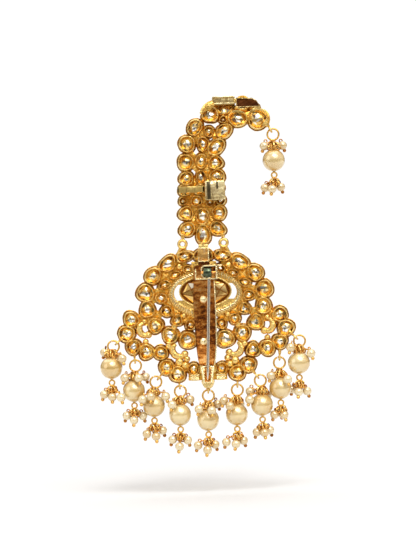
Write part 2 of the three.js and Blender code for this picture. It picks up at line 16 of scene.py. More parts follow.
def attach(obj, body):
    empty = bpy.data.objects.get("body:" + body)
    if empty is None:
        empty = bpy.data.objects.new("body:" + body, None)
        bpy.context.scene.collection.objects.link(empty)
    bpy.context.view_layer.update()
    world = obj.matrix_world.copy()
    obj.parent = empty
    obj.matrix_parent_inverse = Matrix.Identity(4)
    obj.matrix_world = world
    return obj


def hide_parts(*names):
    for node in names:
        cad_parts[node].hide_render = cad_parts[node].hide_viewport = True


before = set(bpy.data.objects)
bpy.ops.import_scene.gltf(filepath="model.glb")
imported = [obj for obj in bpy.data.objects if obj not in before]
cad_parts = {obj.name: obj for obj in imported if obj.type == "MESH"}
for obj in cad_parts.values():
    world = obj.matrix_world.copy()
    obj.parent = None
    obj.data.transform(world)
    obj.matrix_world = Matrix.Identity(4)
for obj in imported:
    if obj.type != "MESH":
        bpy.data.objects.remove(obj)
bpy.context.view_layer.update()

# --- Sizes shared with the frame, in millimetres --------------------------------------------------------

BACK, FRONT = -1.6, 1.6  # the raised rims of the cells, and the face of the stones
WEB_Y = (0.1, 0.95)  # the floor between the cells
WEB_REACH = 2.4  # the floor joins cells whose edges are closer than this
UNDER_FAN = -25  # the cell below this height is hidden by the grained fan
GAP = 0.3  # between pieces that meet
WIRE = 0.35  # radius of the ring and eye wires
BIG_PEARL, SMALL_PEARL, END_BALL = 4.0, 1.6, 0.65  # radii
JUMP_RING, LOW_EYE, EYELET = 2.05, 0.95, 1.05  # radii to the middle of the wire
BEND_FROM, BEND_RADIUS = 69.6, 3.4  # the plume's top edge folds forward above this height
LEAN = 0.35  # how far a hanging pearl leans outwards for each unit down
NEEDLE_Y = -5.65
HINGE = Vector((1.2, -5.4, 14.5))
NEEDLE = 0.56  # radius
PINNED_AT = Vector((0.6, NEEDLE_Y, -6.0))  # where the needle goes through the cloth: the origin
TO_ROW = Matrix.Scale(0.001, 4) @ Matrix.Translation(-PINNED_AT)
SETTING = {"x": 0.2, "z": 7.8, "across": 9.5, "up": 5.7, "wall": 0.45}  # the bezel of the centre stone
BAND_Z = SETTING["z"] - 0.5  # the middle of the oval band round it
OVAL_SIDES = 64  # how many sides the ovals round the stone have
BOTH = (1, -1)  # the right side and its mirror image


def table(columns, rows):
    """Rows with named columns."""
    return [dict(zip(columns.split(), row)) for row in rows]


# The plate's cells: centre, half sizes across and up, and how far the outer end turns down, in degrees.
# A cell off the middle line has a mirror image on the other side.
PLATE_CELLS = table("x z across up turn", [
    # the crest, over the top and down the shoulder
    (0, 20.7, 3.6, 2.6, 0), (6.9, 20.4, 3.4, 2.1, 10), (13.1, 18.0, 3.6, 2.7, 35),
    (18.4, 13.95, 3.4, 2.9, 50), (21.4, 8.0, 3.3, 3.3, 0), (20.9, 2.0, 2.9, 3.2, 0),
    # round the wing and along the lower edge
    (26.7, -1.5, 2.9, 2.9, 0), (28.6, -6.5, 3.1, 3.1, 0), (26.4, -11.2, 2.8, 2.8, 0),
    (21.7, -13.2, 2.9, 2.9, 0), (16.6, -13.8, 2.7, 2.7, 0), (14.7, -19.1, 2.9, 2.9, 0),
    (10.8, -21.7, 3.0, 3.0, 0), (5.1, -20.0, 2.3, 2.3, 0), (0, -25.7, 2.3, 1.5, 0),
    # the small inner row
    (5.7, 15.9, 2.2, 1.7, 0), (10.5, 14.0, 2.4, 1.6, 20), (14.4, 10.6, 2.5, 1.7, 15),
    (15.8, 5.9, 2.4, 2.0, 0), (14.0, 1.2, 2.3, 2.3, 0), (10.35, -2.35, 2.2, 2.2, 0),
    (5.6, -4.0, 2.1, 2.1, 0),
    # up the middle, behind the back plate and the neck
    (0, 16.95, 2.2, 1.6, 0), (0, -13.4, 2.5, 2.5, 0), (0, -18.6, 2.3, 2.3, 0),
    # the large row, below the small inner one
    (18.1, -3.8, 2.9, 3.0, 0), (13.0, -7.5, 3.0, 3.1, 0), (6.7, -9.5, 3.3, 3.3, 0),
])

# The plume's cells, laid flat: none of them is mirrored.
PLUME_CELLS = table("x z across up turn", [
    (0.1, 28.3, 2.75, 3.8, 0), (-5.4, 30.2, 3.2, 2.6, -30), (5.4, 30.2, 3.2, 2.6, 30),
    (0.2, 34.9, 2.7, 3.3, 0), (-5.6, 36.0, 2.8, 2.8, 0), (6.1, 35.8, 2.8, 2.8, 0),
    (-6.6, 40.5, 1.7, 1.7, 0), (-1.8, 40.3, 2.4, 2.2, 0), (3.1, 39.8, 1.8, 1.8, 0),
    (6.9, 40.3, 2.0, 2.0, 0), (-5.8, 44.4, 2.6, 2.3, 0), (-0.4, 44.4, 2.5, 2.1, 0),
    (5.6, 44.6, 2.9, 2.5, 0), (-5.1, 48.6, 2.8, 2.6, 0), (0.1, 48.8, 2.0, 2.9, 0),
    (5.9, 49.0, 3.0, 2.7, 0), (-5.2, 54.4, 3.0, 3.1, 0), (0.4, 54.6, 2.3, 2.9, 0),
    (5.55, 54.0, 2.9, 2.6, 0), (-4.4, 60.9, 3.1, 3.2, 0), (1.3, 60.8, 2.3, 2.9, 0),
    (6.1, 59.6, 3.6, 2.8, -45), (-1.4, 66.7, 3.3, 2.7, -50), (3.6, 65.2, 1.9, 2.2, 0),
    (9.0, 65.2, 3.4, 2.6, -40), (4.2, 71.2, 3.1, 3.0, 0), (8.8, 69.2, 1.5, 1.4, 0),
    (9.5, 73.2, 2.9, 2.5, 0), (14.2, 69.2, 3.7, 2.8, 0), (21.2, 69.1, 3.7, 3.7, 0),
    (15.7, 74.2, 3.0, 2.3, 0), (20.2, 75.1, 2.6, 2.3, 30), (6.4, 77.3, 2.8, 2.2, 0),
    (12.1, 77.7, 3.2, 2.3, 0),
])

# Solid beads that fill the corners between cells, and swirls that end in a ball. Both have mirror images.
BEADS = table("x z radius", [
    (13.6, -11.4, 1.3), (8.0, -18.6, 1.4), (10.0, -17.4, 1.6), (21.9, -9.6, 1.1), (24.0, -3.8, 1.1),
    (11.5, -4.6, 1.2), (7.9, -0.7, 1.1), (8.8, 17.0, 1.25), (22.1, -2.2, 1.1), (7.3, -16.4, 1.2),
])
SWIRLS = table("x z radius start end", [(21.8, -5.0, 2.3, 245, 430), (9.9, -12.9, 2.5, 220, 420)])

# Where the plate and the plume are open between their cells. The plate's openings have mirror images.
PLATE_OPENINGS = [(17.2, 9.6), (17.3, 2.3), (13.8, -2.5), (8.75, -5.3), (22.0, -5.2), (18.0, -9.4),
                  (19.5, -7.6), (10.1, -12.7), (5.2, -15.3), (2.4, -15.0), (20.7, -19.5)]
PLUME_OPENINGS = [(7.4, 70.3), (2.1, 66.6), (6.4, 68.4), (-2.3, 50.5), (-0.6, 58.7), (5.1, 61.8)]

# The left and right edges of the boat-shaped back plate at some heights, and the rivets that hold it.
PRONG_SHAPE = table("z left right", [
    (16.6, -3.5, 3.2), (11.5, -4.0, 3.7), (4.7, -4.2, 3.85), (-5.0, -4.1, 3.85), (-11.5, -3.85, 3.7),
    (-16.0, -3.4, 3.2), (-18.7, -2.9, 2.7),
])
PRONG = {"near": BACK - GAP, "far": BACK - GAP - 0.8}
RIVETS = table("name x z", [("rivet_upper", -0.6, 4.9), ("rivet_lower", -1.1, -10.2)])

# The drops: where the jump ring and the big pearl hang, and the cell whose edge holds the ring's eyelet.
DROPS = table("name ring_x ring_z x z cell_x cell_z", [
    ("drop_1", -33.6, -10.9, -34.6, -18.6, -28.6, -6.5),
    ("drop_2", -25.9, -18.1, -26.8, -27.1, -26.4, -11.2),
    ("drop_3", -18.8, -24.2, -19.8, -32.8, -14.7, -19.1),
    ("drop_4", -10.1, -27.9, -10.5, -36.3, -10.8, -21.7),
    ("drop_5", -0.1, -29.8, -0.5, -38.5, 0, -25.7),
    ("drop_6", 10.4, -28.1, 9.9, -36.9, 10.8, -21.7),
    ("drop_7", 18.8, -25.0, 19.1, -33.8, 14.7, -19.1),
    ("drop_8", 25.9, -18.9, 25.9, -28.0, 26.4, -11.2),
    ("drop_9", 33.4, -11.3, 32.9, -19.2, 28.6, -6.5),
    ("tip_drop", 26.6, 63.3, 26.5, 54.0, 25.2, 66.1),
])

# The small pearls of each drop, from the middle of its big one: across, towards the front, and up.
TOP_PEARLS = {
    "drop_1": [(-2.4, 1.9, 5.6), (1.6, 4.6, 4.2), (4.1, -2.7, 3.3)],
    "drop_2": [(-3.1, -1.5, 4.8), (2.0, -3.3, 4.6), (4.3, 2.3, 4.7)],
    "drop_3": [(-3.9, -4.2, 2.7), (-0.8, -4.7, 3.6), (4.4, -2.2, 3.4)],
    "drop_4": [(-2.7, -3.7, 3.9), (3.8, 0.5, 5.3), (-0.6, 5.0, 3.3)],
    "drop_5": [(-3.1, -3.0, 4.1), (1.4, -4.5, 3.6), (3.6, 1.6, 5.4)],
    "drop_6": [(-4.5, -1.9, 5.1), (-2.4, -4.3, 3.3), (1.4, 4.9, 3.3)],
    "drop_7": [(-4.2, -0.3, 5.0), (-4.5, -3.4, 2.2), (2.2, 4.6, 3.3)],
    "drop_8": [(-3.3, -1.8, 4.6), (2.6, -4.5, 3.2), (1.2, 4.9, 3.3)],
    "drop_9": [(-2.9, -2.6, 5.7), (4.4, -2.1, 3.3), (1.4, 4.8, 3.6)],
    "tip_drop": [(-3.3, -0.4, 5.2), (3.4, 0.4, 5.2)],
}
LOW_PEARLS = {
    "drop_1": [(-2.9, -0.4, -9.4), (0.0, -1.2, -10.4), (3.2, -3.0, -10.6)],
    "drop_2": [(-2.9, 0.4, -8.9), (-0.3, -1.2, -10.5), (2.9, 0.3, -9.2)],
    "drop_3": [(-2.9, -0.4, -10.0), (0.4, -1.1, -10.9), (2.8, 0.8, -9.0)],
    "drop_4": [(-3.0, 0.4, -8.9), (-0.6, -0.9, -11.4), (2.4, 0.2, -9.3)],
    "drop_5": [(-3.9, 0.0, -9.1), (-0.6, -1.1, -10.8), (2.2, 0.5, -9.0)],
    "drop_6": [(-4.1, 0.2, -9.9), (-0.7, -1.0, -10.6), (2.1, 0.7, -9.6)],
    "drop_7": [(-2.2, 0.3, -9.8), (0.5, -1.1, -10.0), (2.5, 0.9, -9.3)],
    "drop_8": [(-2.5, 0.0, -9.5), (1.0, -0.6, -9.7), (0.2, 2.4, -9.2)],
    "drop_9": [(-2.6, 3.8, -9.6), (-0.5, -1.2, -10.4), (2.6, 0.4, -10.3)],
    "tip_drop": [(-3.5, 0.3, -9.8), (-1.0, -1.6, -10.4), (2.2, 0.6, -9.7)],
}


# --- Materials ------------------------------------------------------------------------------------------

class Field:
    """A number or colour that varies over a surface. Arithmetic on a number adds Math nodes."""

    def __init__(self, finish, socket):
        self.finish, self.socket = finish, socket

    def _math(self, operation, other):
        return self.finish.node("ShaderNodeMath", {"operation": operation}, {0: self, 1: other})

    def __add__(self, other):
        return self._math("ADD", other)

    def __sub__(self, other):
        return self._math("SUBTRACT", other)

    def __mul__(self, other):
        return self._math("MULTIPLY", other)


def set_stops(ramp, stops):
    while len(ramp.elements) < len(stops):
        ramp.elements.new(1.0)
    for element, (position, colour) in zip(ramp.elements, stops):
        element.position, element.color = position, (*colour, 1.0)


def add_node(tree, kind, settings, inputs, output=0):
    """Adds a node: its settings first, then the values or links of its sockets. Gives one of its outputs."""
    made = tree.nodes.new(kind)
    for key, value in settings.items():
        if key == "stops":
            set_stops(made.color_ramp, value)
        else:
            setattr(made, key, value)
    for socket, value in inputs.items():
        if isinstance(value, bpy.types.NodeSocket):
            tree.links.new(value, made.inputs[socket])
        else:
            made.inputs[socket].default_value = value
    return made.outputs[output]


class Finish:
    """A material with one Principled shader, and what drives its colour, roughness and relief."""

    def __init__(self, name, **constants):
        self.material = bpy.data.materials.new(name)
        self.material.use_nodes = True
        self.tree = self.material.node_tree
        self.shader = self.tree.nodes["Principled BSDF"]
        for socket, value in constants.items():
            self.shader.inputs[socket.replace("_", " ")].default_value = value

    def node(self, kind, settings, inputs, output=0):
        """Adds a node whose sockets may also be linked to fields."""
        sockets = {key: value.socket if isinstance(value, Field) else value for key, value in inputs.items()}
        return Field(self, add_node(self.tree, kind, settings, sockets, output))

    def place(self, stretch=(1, 1, 1)):
        """Where a point is on the object, in millimetres, stretched."""
        coordinates = self.node("ShaderNodeTexCoord", {}, {}, "Object")
        scale = [1000 * s for s in stretch]
        return self.node("ShaderNodeMapping", {}, {"Vector": coordinates, "Scale": scale})

    def noise(self, place, scale, detail=3.0, roughness=0.55):
        inputs = {"Vector": place, "Scale": scale, "Detail": detail, "Roughness": roughness}
        return self.node("ShaderNodeTexNoise", {}, inputs, "Fac")

    def layer(self, name):
        """A number stored on the mesh."""
        return self.node("ShaderNodeAttribute", {"attribute_name": name}, {}, "Fac")

    def ramp(self, factor, stops, interpolation="LINEAR"):
        made = self.node("ShaderNodeValToRGB", {"stops": stops}, {"Fac": factor}, "Color")
        made.socket.node.color_ramp.interpolation = interpolation
        return made

    def blend(self, factor, first, second):
        """A colour between two colours."""
        inputs = {0: factor, 6: first, 7: second}
        for socket in (6, 7):
            if not isinstance(inputs[socket], Field):
                inputs[socket] = (*inputs[socket], 1.0)
        return self.node("ShaderNodeMix", {"data_type": "RGBA"}, inputs, 2)

    def step(self, value, low, high):
        """0 below low, 1 above high, and smooth between them."""
        return self.node("ShaderNodeMapRange", {"interpolation_type": "SMOOTHSTEP"},
                         {"Value": value, "From Min": low, "From Max": high})

    def relief(self, height, strength, distance):
        """A bump of this height; distance is in millimetres."""
        inputs = {"Height": height, "Strength": strength, "Distance": distance * 0.001}
        self.link(Normal=self.node("ShaderNodeBump", {}, inputs, "Normal"))

    def link(self, **fields):
        for socket, field in fields.items():
            self.tree.links.new(field.socket, self.shader.inputs[socket.replace("_", " ")])


def cast_gold(name, light, deep, polish=0.24):
    """Plated casting with a grainy skin and duller spots: pale on random rubbed patches, turned amber deeper
    down from the back rims as painted shade, and dark brown on the flanks of the flanges as painted shade.
    """
    finish = Finish(name, Metallic=1.0)
    place = finish.place()
    patches = finish.noise(place, 0.35, 2.0)
    grain = finish.noise(place, 1.9, 4.0, 0.65)
    depth = finish.layer("depth")
    # Painted shade: the deeper a point lies from the back rims, the more it turns to the amber deep colour;
    # the noise adds random rubbed patches.
    wear_and_depth_shade = finish.step(patches * 0.25 + grain * 0.45 + depth, 0.95, 0.3)
    # Painted shade: a dark brown band, 0.42 of the deep colour, on the flanks of the cells' flanges, between
    # about two thirds and nine tenths of the way to the front.
    side = finish.step(depth, 0.58, 0.72) * finish.step(depth, 0.95, 0.85)
    cast = finish.blend(wear_and_depth_shade, deep, light)
    finish.link(Base_Color=finish.blend(side * 0.85, cast, tuple(0.42 * c for c in deep)))
    finish.link(Roughness=finish.step(grain, 0.4, 0.75) * 0.16 + polish)
    lumps = finish.noise(place, 0.8, 2.0, 0.5)
    finish.relief(grain * 0.45 + lumps, 0.8, 0.45)
    return finish.material


def sheet_brass(name, light, deep, streak, polish=0.1):
    """Cut sheet, polished along its length: soft streaks in a colour of their own, which on the neck strip is
    a painted highlight, and a few dark tarnish clouds.
    """
    finish = Finish(name, Metallic=0.82)
    streaks = finish.noise(finish.place((1.6, 1.6, 0.22)), 1.0, 3.0)
    clouds = finish.noise(finish.place(), 0.45, 3.0, 0.6)
    base = finish.blend(finish.step(clouds, 0.4, 0.7), light, deep)
    finish.link(Base_Color=finish.blend(finish.step(streaks, 0.54, 0.66), base, streak))
    finish.link(Roughness=clouds * 0.16 + polish)
    dents = finish.noise(finish.place(), 0.3, 2.0, 0.5)
    finish.relief(dents + streaks * 0.05, 0.6, 0.7)
    return finish.material


def mottled_copper():
    """Coppered sheet that has gone dark in patches: orange, brown and nearly black clouds, and a painted dark
    reflection across the middle of its height.
    """
    finish = Finish("mottled_copper", Metallic=1.0)
    place = finish.place((1.0, 1.0, 1.7))
    patches = finish.noise(place, 0.3, 5.0, 0.68)
    streaks = finish.noise(finish.place((2.2, 1.0, 0.3)), 1.0, 3.0)
    height = finish.node("ShaderNodeSeparateXYZ", {}, {"Vector": finish.place()}, "Z")
    # Painted dark reflection: a little darker from about 10 mm down to -12 mm in height, most between 0 and
    # -4.
    middle = finish.step(height, 10.0, 0.0) - finish.step(height, -4.0, -12.0)
    dark = patches * 0.85 + streaks * 0.15 + middle * 0.06
    finish.link(Base_Color=finish.ramp(dark, [
        (0.38, (1.0, 0.60, 0.24)), (0.46, (0.86, 0.38, 0.085)), (0.53, (0.55, 0.18, 0.03)),
        (0.60, (0.17, 0.045, 0.01)),
    ]))
    finish.link(Roughness=patches * 0.2 + 0.14)
    finish.relief(patches, 0.35, 0.35)
    return finish.material


def needle_steel():
    """Drawn wire, with fine streaks along it."""
    finish = Finish("needle_steel", Metallic=1.0)
    drawn = finish.noise(finish.place((5, 5, 0.3)), 1.0, 2.0)
    finish.link(Base_Color=finish.blend(drawn, (0.58, 0.56, 0.51), (0.86, 0.83, 0.76)))
    finish.link(Roughness=drawn * 0.14 + 0.16)
    finish.relief(drawn, 0.2, 0.04)
    return finish.material


def tarnished_knuckle():
    """Brass gone dark green, rubbed light in random patches."""
    finish = Finish("tarnished_knuckle", Metallic=0.75)
    place = finish.place()
    bloom = finish.noise(place, 1.3, 4.0, 0.7)
    finish.link(Base_Color=finish.ramp(bloom, [(0.3, (0.025, 0.035, 0.022)), (0.5, (0.06, 0.085, 0.05)),
                                               (0.72, (0.30, 0.33, 0.18))]))
    finish.link(Roughness=bloom * 0.25 + 0.12)
    finish.relief(bloom, 0.4, 0.1)
    return finish.material


def pearl(name, body, shade):
    """A lustrous coat over a warm body, with faint broad clouds and a few shallow dimples."""
    finish = Finish(name, Metallic=0.28, Coat_Weight=1.0, Coat_Roughness=0.17, Coat_IOR=2.2, IOR=1.5)
    place = finish.place()
    clouds = finish.noise(place, 0.12, 1.0)
    skin = finish.noise(place, 0.7, 2.0, 0.5)
    finish.link(Base_Color=finish.blend(finish.step(clouds, 0.35, 0.65), shade, body))
    finish.link(Roughness=skin * 0.1 + 0.2)
    finish.relief(skin, 0.05, 0.06)
    return finish.material


def foiled_stone(name, stops):
    """A cut stone over foil: each facet is painted with a reflection of its own, from white glints through
    grey and gold to dark amber shade.
    """
    finish = Finish(name, Metallic=0.85, Coat_Weight=0.3, Coat_Roughness=0.05, IOR=1.5)
    # Painted reflections: each facet takes one colour of the ramp by its stored number.
    tint = finish.ramp(finish.layer("facet"), stops, "CONSTANT")
    cloud = finish.noise(finish.place(), 1.1, 2.0)
    finish.link(Base_Color=finish.blend(cloud * 0.15, tint, (0.86, 0.66, 0.34)))
    finish.link(Roughness=cloud * 0.16 + 0.05)
    return finish.material


# The second colour of each gold is the amber of its painted shade deeper down, and of its random rubbed
# patches.
GOLD = cast_gold("cast_gold", (0.91, 0.68, 0.25), (0.74, 0.40, 0.06))
WIRE_GOLD = cast_gold("drawn_gold_wire", (0.82, 0.48, 0.13), (0.46, 0.17, 0.025), 0.22)
PALE_GOLD = cast_gold("pale_gold", (0.97, 0.82, 0.46), (0.84, 0.58, 0.20), 0.18)
BRASS = sheet_brass("polished_brass", (0.97, 0.82, 0.46), (0.86, 0.66, 0.30), (0.50, 0.36, 0.14))
# Near-black sheet laid on the middle tube's back as painted dark reflections.
PAINTED_REFLECTION_BRASS = sheet_brass("painted_reflection_stripes", (0.13, 0.10, 0.05), (0.09, 0.07, 0.03), (0.05, 0.035, 0.015), 0.2)
STRAP_BRASS = sheet_brass("strap_brass", (0.76, 0.56, 0.19), (0.64, 0.44, 0.13), (0.45, 0.29, 0.08), 0.2)
# The neck strip's pale streak colour is a painted highlight: glints laid along its polish streaks, over its
# orange and dark brown tarnish clouds.
NECK_BRASS = sheet_brass("neck_brass", (0.92, 0.54, 0.16), (0.5, 0.2, 0.03), (0.98, 0.80, 0.48), 0.14)
# Dark brown sheet: inside the top band it is painted shade; the hinge box and the neck strip use it too.
DARK_BROWN_SHEET = sheet_brass("dark_brown_sheet", (0.17, 0.05, 0.01), (0.09, 0.025, 0.005), (0.2, 0.07, 0.01), 0.2)
COPPERED = mottled_copper()
STEEL = needle_steel()
KNUCKLE = tarnished_knuckle()
PEARL = pearl("pearl", (0.80, 0.62, 0.29), (0.68, 0.44, 0.13))
SEED_PEARL = pearl("seed_pearl", (0.82, 0.68, 0.40), (0.70, 0.50, 0.22))
# The facet colours are painted reflections: white and pale glints, grey, gold and amber, and dark amber shade.
STONE = foiled_stone("foiled_stone", [
    (0.0, (1.0, 1.0, 1.0)), (0.24, (0.24, 0.25, 0.22)), (0.36, (1.0, 0.93, 0.74)),
    (0.46, (0.93, 0.68, 0.26)), (0.60, (0.80, 0.48, 0.10)), (0.76, (0.96, 0.80, 0.42)),
    (0.85, (0.52, 0.23, 0.03)), (0.95, (0.16, 0.05, 0.01)),
])
# The centre stone's facet colours are painted reflections too: cream glints, amber and brown.
CENTRE_STONE = foiled_stone("centre_stone_foil", [
    (0.0, (0.95, 0.88, 0.70)), (0.12, (0.76, 0.48, 0.14)), (0.45, (0.54, 0.28, 0.055)),
    (0.72, (0.80, 0.56, 0.22)),
])
# Dark brown painted on the centre stone's facet edges as dark reflected lines; it also colours the seat under
# the stone.
RIDGE = cast_gold("stone_ridge", (0.30, 0.11, 0.02), (0.18, 0.05, 0.01), 0.25)


# --- Making shapes --------------------------------------------------------------------------------------

def verts_of(geometry):
    return [g for g in geometry if isinstance(g, bmesh.types.BMVert)]


def edges_of(geometry):
    return [g for g in geometry if isinstance(g, bmesh.types.BMEdge)]


def cut_away(bm, height, up):
    """Cuts off what is above a height, or below it if up is -1, and gives the edges of the cut."""
    made = bmesh.ops.bisect_plane(bm, geom=bm.verts[:] + bm.edges[:] + bm.faces[:], plane_co=(0, 0, height),
                                  plane_no=(0, 0, up), clear_outer=True)
    return edges_of(made["geom_cut"])


def merged(bm):
    """Joins the points that meet and turns every face outwards."""
    bmesh.ops.remove_doubles(bm, verts=bm.verts, dist=1e-4)
    bmesh.ops.recalc_face_normals(bm, faces=bm.faces)
    return bm


def turned(profile, sides, axis="Y", closed=False):
    """A profile of (radius, height) pairs turned round an axis. A closed one makes a ring."""
    bm = bmesh.new()
    at = {"Y": lambda r, h: (r, h, 0), "Z": lambda r, h: (r, 0, h), "X": lambda r, h: (h, r, 0)}[axis]
    points = [bm.verts.new(at(r, h)) for r, h in profile]
    ends = zip(points, points[1:] + points[:1]) if closed else zip(points, points[1:])
    for start, end in ends:
        bm.edges.new((start, end))
    spindle = {"X": (1, 0, 0), "Y": (0, 1, 0), "Z": (0, 0, 1)}[axis]
    bmesh.ops.spin(bm, geom=bm.verts[:] + bm.edges[:], cent=(0, 0, 0), axis=spindle,
                   angle=2 * math.pi, steps=sides, use_merge=True)
    return merged(bm)


def wire(points, radius, sides):
    """A round wire through points. Its radius is one number, or one for each point."""
    points = [Vector(p) for p in points]
    radii = radius if isinstance(radius, list) else [radius] * len(points)
    runs = [(b - a).normalized() for a, b in zip(points, points[1:])]
    tangents = [runs[0], *[(a + b).normalized() for a, b in zip(runs, runs[1:])], runs[-1]]
    facing = Vector((0, 0, 1)).rotation_difference(tangents[0])
    bm = bmesh.new()
    start = Matrix.LocRotScale(points[0], facing, Vector((radii[0],) * 3))
    bmesh.ops.create_circle(bm, cap_ends=True, segments=sides, radius=1, matrix=start)
    rim = bm.edges[:]
    for i in range(1, len(points)):
        made = bmesh.ops.extrude_edge_only(bm, edges=rim)["geom"]
        new = verts_of(made)
        rim = [e for e in {e for v in new for e in v.link_edges} if all(v in new for v in e.verts)]
        bend = tangents[i - 1].rotation_difference(tangents[i]).to_matrix().to_4x4()
        grow = Matrix.Scale(radii[i] / radii[i - 1], 4)
        move = Matrix.Translation(points[i]) @ bend @ grow @ Matrix.Translation(-points[i - 1])
        bmesh.ops.transform(bm, matrix=move, verts=new)
    bmesh.ops.edgeloop_fill(bm, edges=rim)
    return merged(bm)


def arc(centre, radius, start, end, steps):
    """Points round an arc in the plane of the plate; angles in degrees."""
    angles = [math.radians(start + (end - start) * i / steps) for i in range(steps + 1)]
    return [Vector((centre[0] + radius * math.cos(a), 0, centre[1] + radius * math.sin(a))) for a in angles]


def coil(radius, low, high, turns, wire_radius):
    """A spring round the Z axis."""
    steps = 12
    count = turns * steps
    spots = [(i / count, 2 * math.pi * i / steps) for i in range(count + 1)]
    return wire([(radius * math.cos(a), radius * math.sin(a), low + (high - low) * t) for t, a in spots],
                wire_radius, 6)


def loop(radius, wire_radius, around, sides=8, opening=0):
    """A ring of wire whose hole looks along Y. An opening, in degrees, leaves its ends apart."""
    bm = bmesh.new()
    place = Matrix.Translation((0, 0, radius))
    bmesh.ops.create_circle(bm, cap_ends=bool(opening), segments=sides, radius=wire_radius,
                            matrix=place @ Matrix.Rotation(math.pi / 2, 4, "Y"))
    rim = bm.edges[:]
    made = bmesh.ops.spin(bm, geom=bm.verts[:] + rim, cent=(0, 0, 0), axis=(0, 1, 0),
                          angle=math.radians(360 - opening), steps=around, use_merge=not opening)
    if opening:
        bmesh.ops.edgeloop_fill(bm, edges=edges_of(made["geom_last"]))
    return merged(bm)


def block(low, high, edge, segments=2):
    """A box given by its corners, with rounded edges."""
    low, high = Vector(low), Vector(high)
    bm = bmesh.new()
    place = Matrix.LocRotScale((low + high) / 2, None, high - low)
    bmesh.ops.create_cube(bm, size=1, matrix=place)
    return eased(bm, edge, segments)


def eased(bm, edge, segments=2):
    """Rounds the edges that turn by more than 30 degrees."""
    limit = math.radians(30)
    edges = [e for e in bm.edges if e.is_manifold and e.calc_face_angle(0) > limit]
    if edge:
        bmesh.ops.bevel(bm, geom=edges, offset=edge, segments=segments, profile=0.5, affect="EDGES",
                        material=-1, clamp_overlap=True)
    return merged(bm)


def cut_sheet(outline, y0, y1, edge=0.0, hole=None):
    """An outline of (x, z) points made as thick as y0 to y1. A hole has as many points as the outline."""
    bm = bmesh.new()
    rim = [bm.verts.new((x, y0, z)) for x, z in outline]
    if hole is None:
        bm.faces.new(rim)
    else:
        inner = [bm.verts.new((x, y0, z)) for x, z in hole]
        edges = [bm.edges.new((row[i - 1], row[i])) for row in (rim, inner) for i in range(len(row))]
        bmesh.ops.bridge_loops(bm, edges=edges)
    made = bmesh.ops.extrude_face_region(bm, geom=bm.faces[:])["geom"]
    bmesh.ops.translate(bm, vec=(0, y1 - y0, 0), verts=verts_of(made))
    return eased(merged(bm), edge)


def round_angles(count):
    return [2 * math.pi * i / count for i in range(count)]


def oval(x, z, across, up, sides):
    """The outline of an ellipse, as (x, z) points."""
    return [(x + across * math.cos(a), z + up * math.sin(a)) for a in round_angles(sides)]


def pebble(radius, at=(0, 0, 0), scale=(1, 1, 1), subdivisions=1):
    """A small bead."""
    bm = bmesh.new()
    place = Matrix.LocRotScale(Vector(at), None, Vector(scale))
    bmesh.ops.create_icosphere(bm, subdivisions=subdivisions, radius=radius, matrix=place)
    return bm


def moved(bm, matrix):
    bmesh.ops.transform(bm, matrix=matrix, verts=bm.verts)
    return bm


def mesh_of(bm, name):
    mesh = bpy.data.meshes.new(name)
    bm.to_mesh(mesh)
    bm.free()
    return mesh


def in_scene(name, data):
    """A new object that holds the data, linked to the scene."""
    made = bpy.data.objects.new(name, data)
    bpy.context.scene.collection.objects.link(made)
    return made


def towards(direction, at):
    """Turns +Z to a direction and moves to a point."""
    facing = Vector((0, 0, 1)).rotation_difference(Vector(direction))
    return Matrix.LocRotScale(Vector(at), facing, None)


class Piece:
    """One visible piece: parts are added in millimetres, and then it takes its place on its body."""

    def __init__(self, name, finishes, slot, body="brooch", replaces=()):
        self.name, self.finishes, self.slot = name, finishes, slot
        self.body, self.replaces = body, replaces
        self.bm = bmesh.new()

    def add(self, part, place=Matrix.Identity(4), finish=0, flat=False):
        """Adds a part, with the number of its material, and marks how deep each point lies, which the gold's
        painted shade reads.
        """
        mesh = mesh_of(part, "part")
        mesh.transform(place)
        if place.is_negative:
            mesh.flip_normals()
        first_face, first_vert = len(self.bm.faces), len(self.bm.verts)
        self.bm.from_mesh(mesh)
        bpy.data.meshes.remove(mesh)
        depth = self.bm.verts.layers.float.get("depth") or self.bm.verts.layers.float.new("depth")
        self.bm.faces.ensure_lookup_table()
        self.bm.verts.ensure_lookup_table()
        for vert in self.bm.verts[first_vert:]:
            vert[depth] = (vert.co.y - BACK) / (FRONT - BACK)
        for face in self.bm.faces[first_face:]:
            face.material_index = finish
            face.smooth = not flat

    def add_all(self, parts, place=Matrix.Identity(4), finish=0):
        for part in parts:
            self.add(part, place, finish)

    def add_blocks(self, rows):
        """Boxes, each given by its low and high corners, its rounded edge and its material number."""
        for low, high, edge, finish in rows:
            self.add(block(low, high, edge), finish=finish)

    def done(self):
        """Puts the piece on its body. Edges that turn by more than 38 degrees stay sharp."""
        bmesh.ops.transform(self.bm, matrix=TO_ROW, verts=self.bm.verts)
        mesh = mesh_of(self.bm, self.name)
        mesh.set_sharp_from_angle(angle=math.radians(38))
        for finish in self.finishes:
            mesh.materials.append(finish)
        made = in_scene(self.name, mesh)
        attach(made, self.body)
        if self.replaces:
            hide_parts(*self.replaces)


# --- Cells ----------------------------------------------------------------------------------------------

def mean_radius(row):
    return (row["across"] + row["up"]) / 2


def mirrored(rows):
    """Each row with its side, 1 or -1: a row off the middle line comes twice."""
    return [(side, row) for row in rows for side in (BOTH if row["x"] else (1,))]


def cell_place(row, side):
    turn = Matrix.Rotation(math.radians(side * row["turn"]), 4, "Y")
    mean = mean_radius(row)
    stretch = Matrix.Diagonal((row["across"] / mean, 1, row["up"] / mean, 1))
    return Matrix.Translation((side * row["x"], 0, row["z"])) @ turn @ stretch


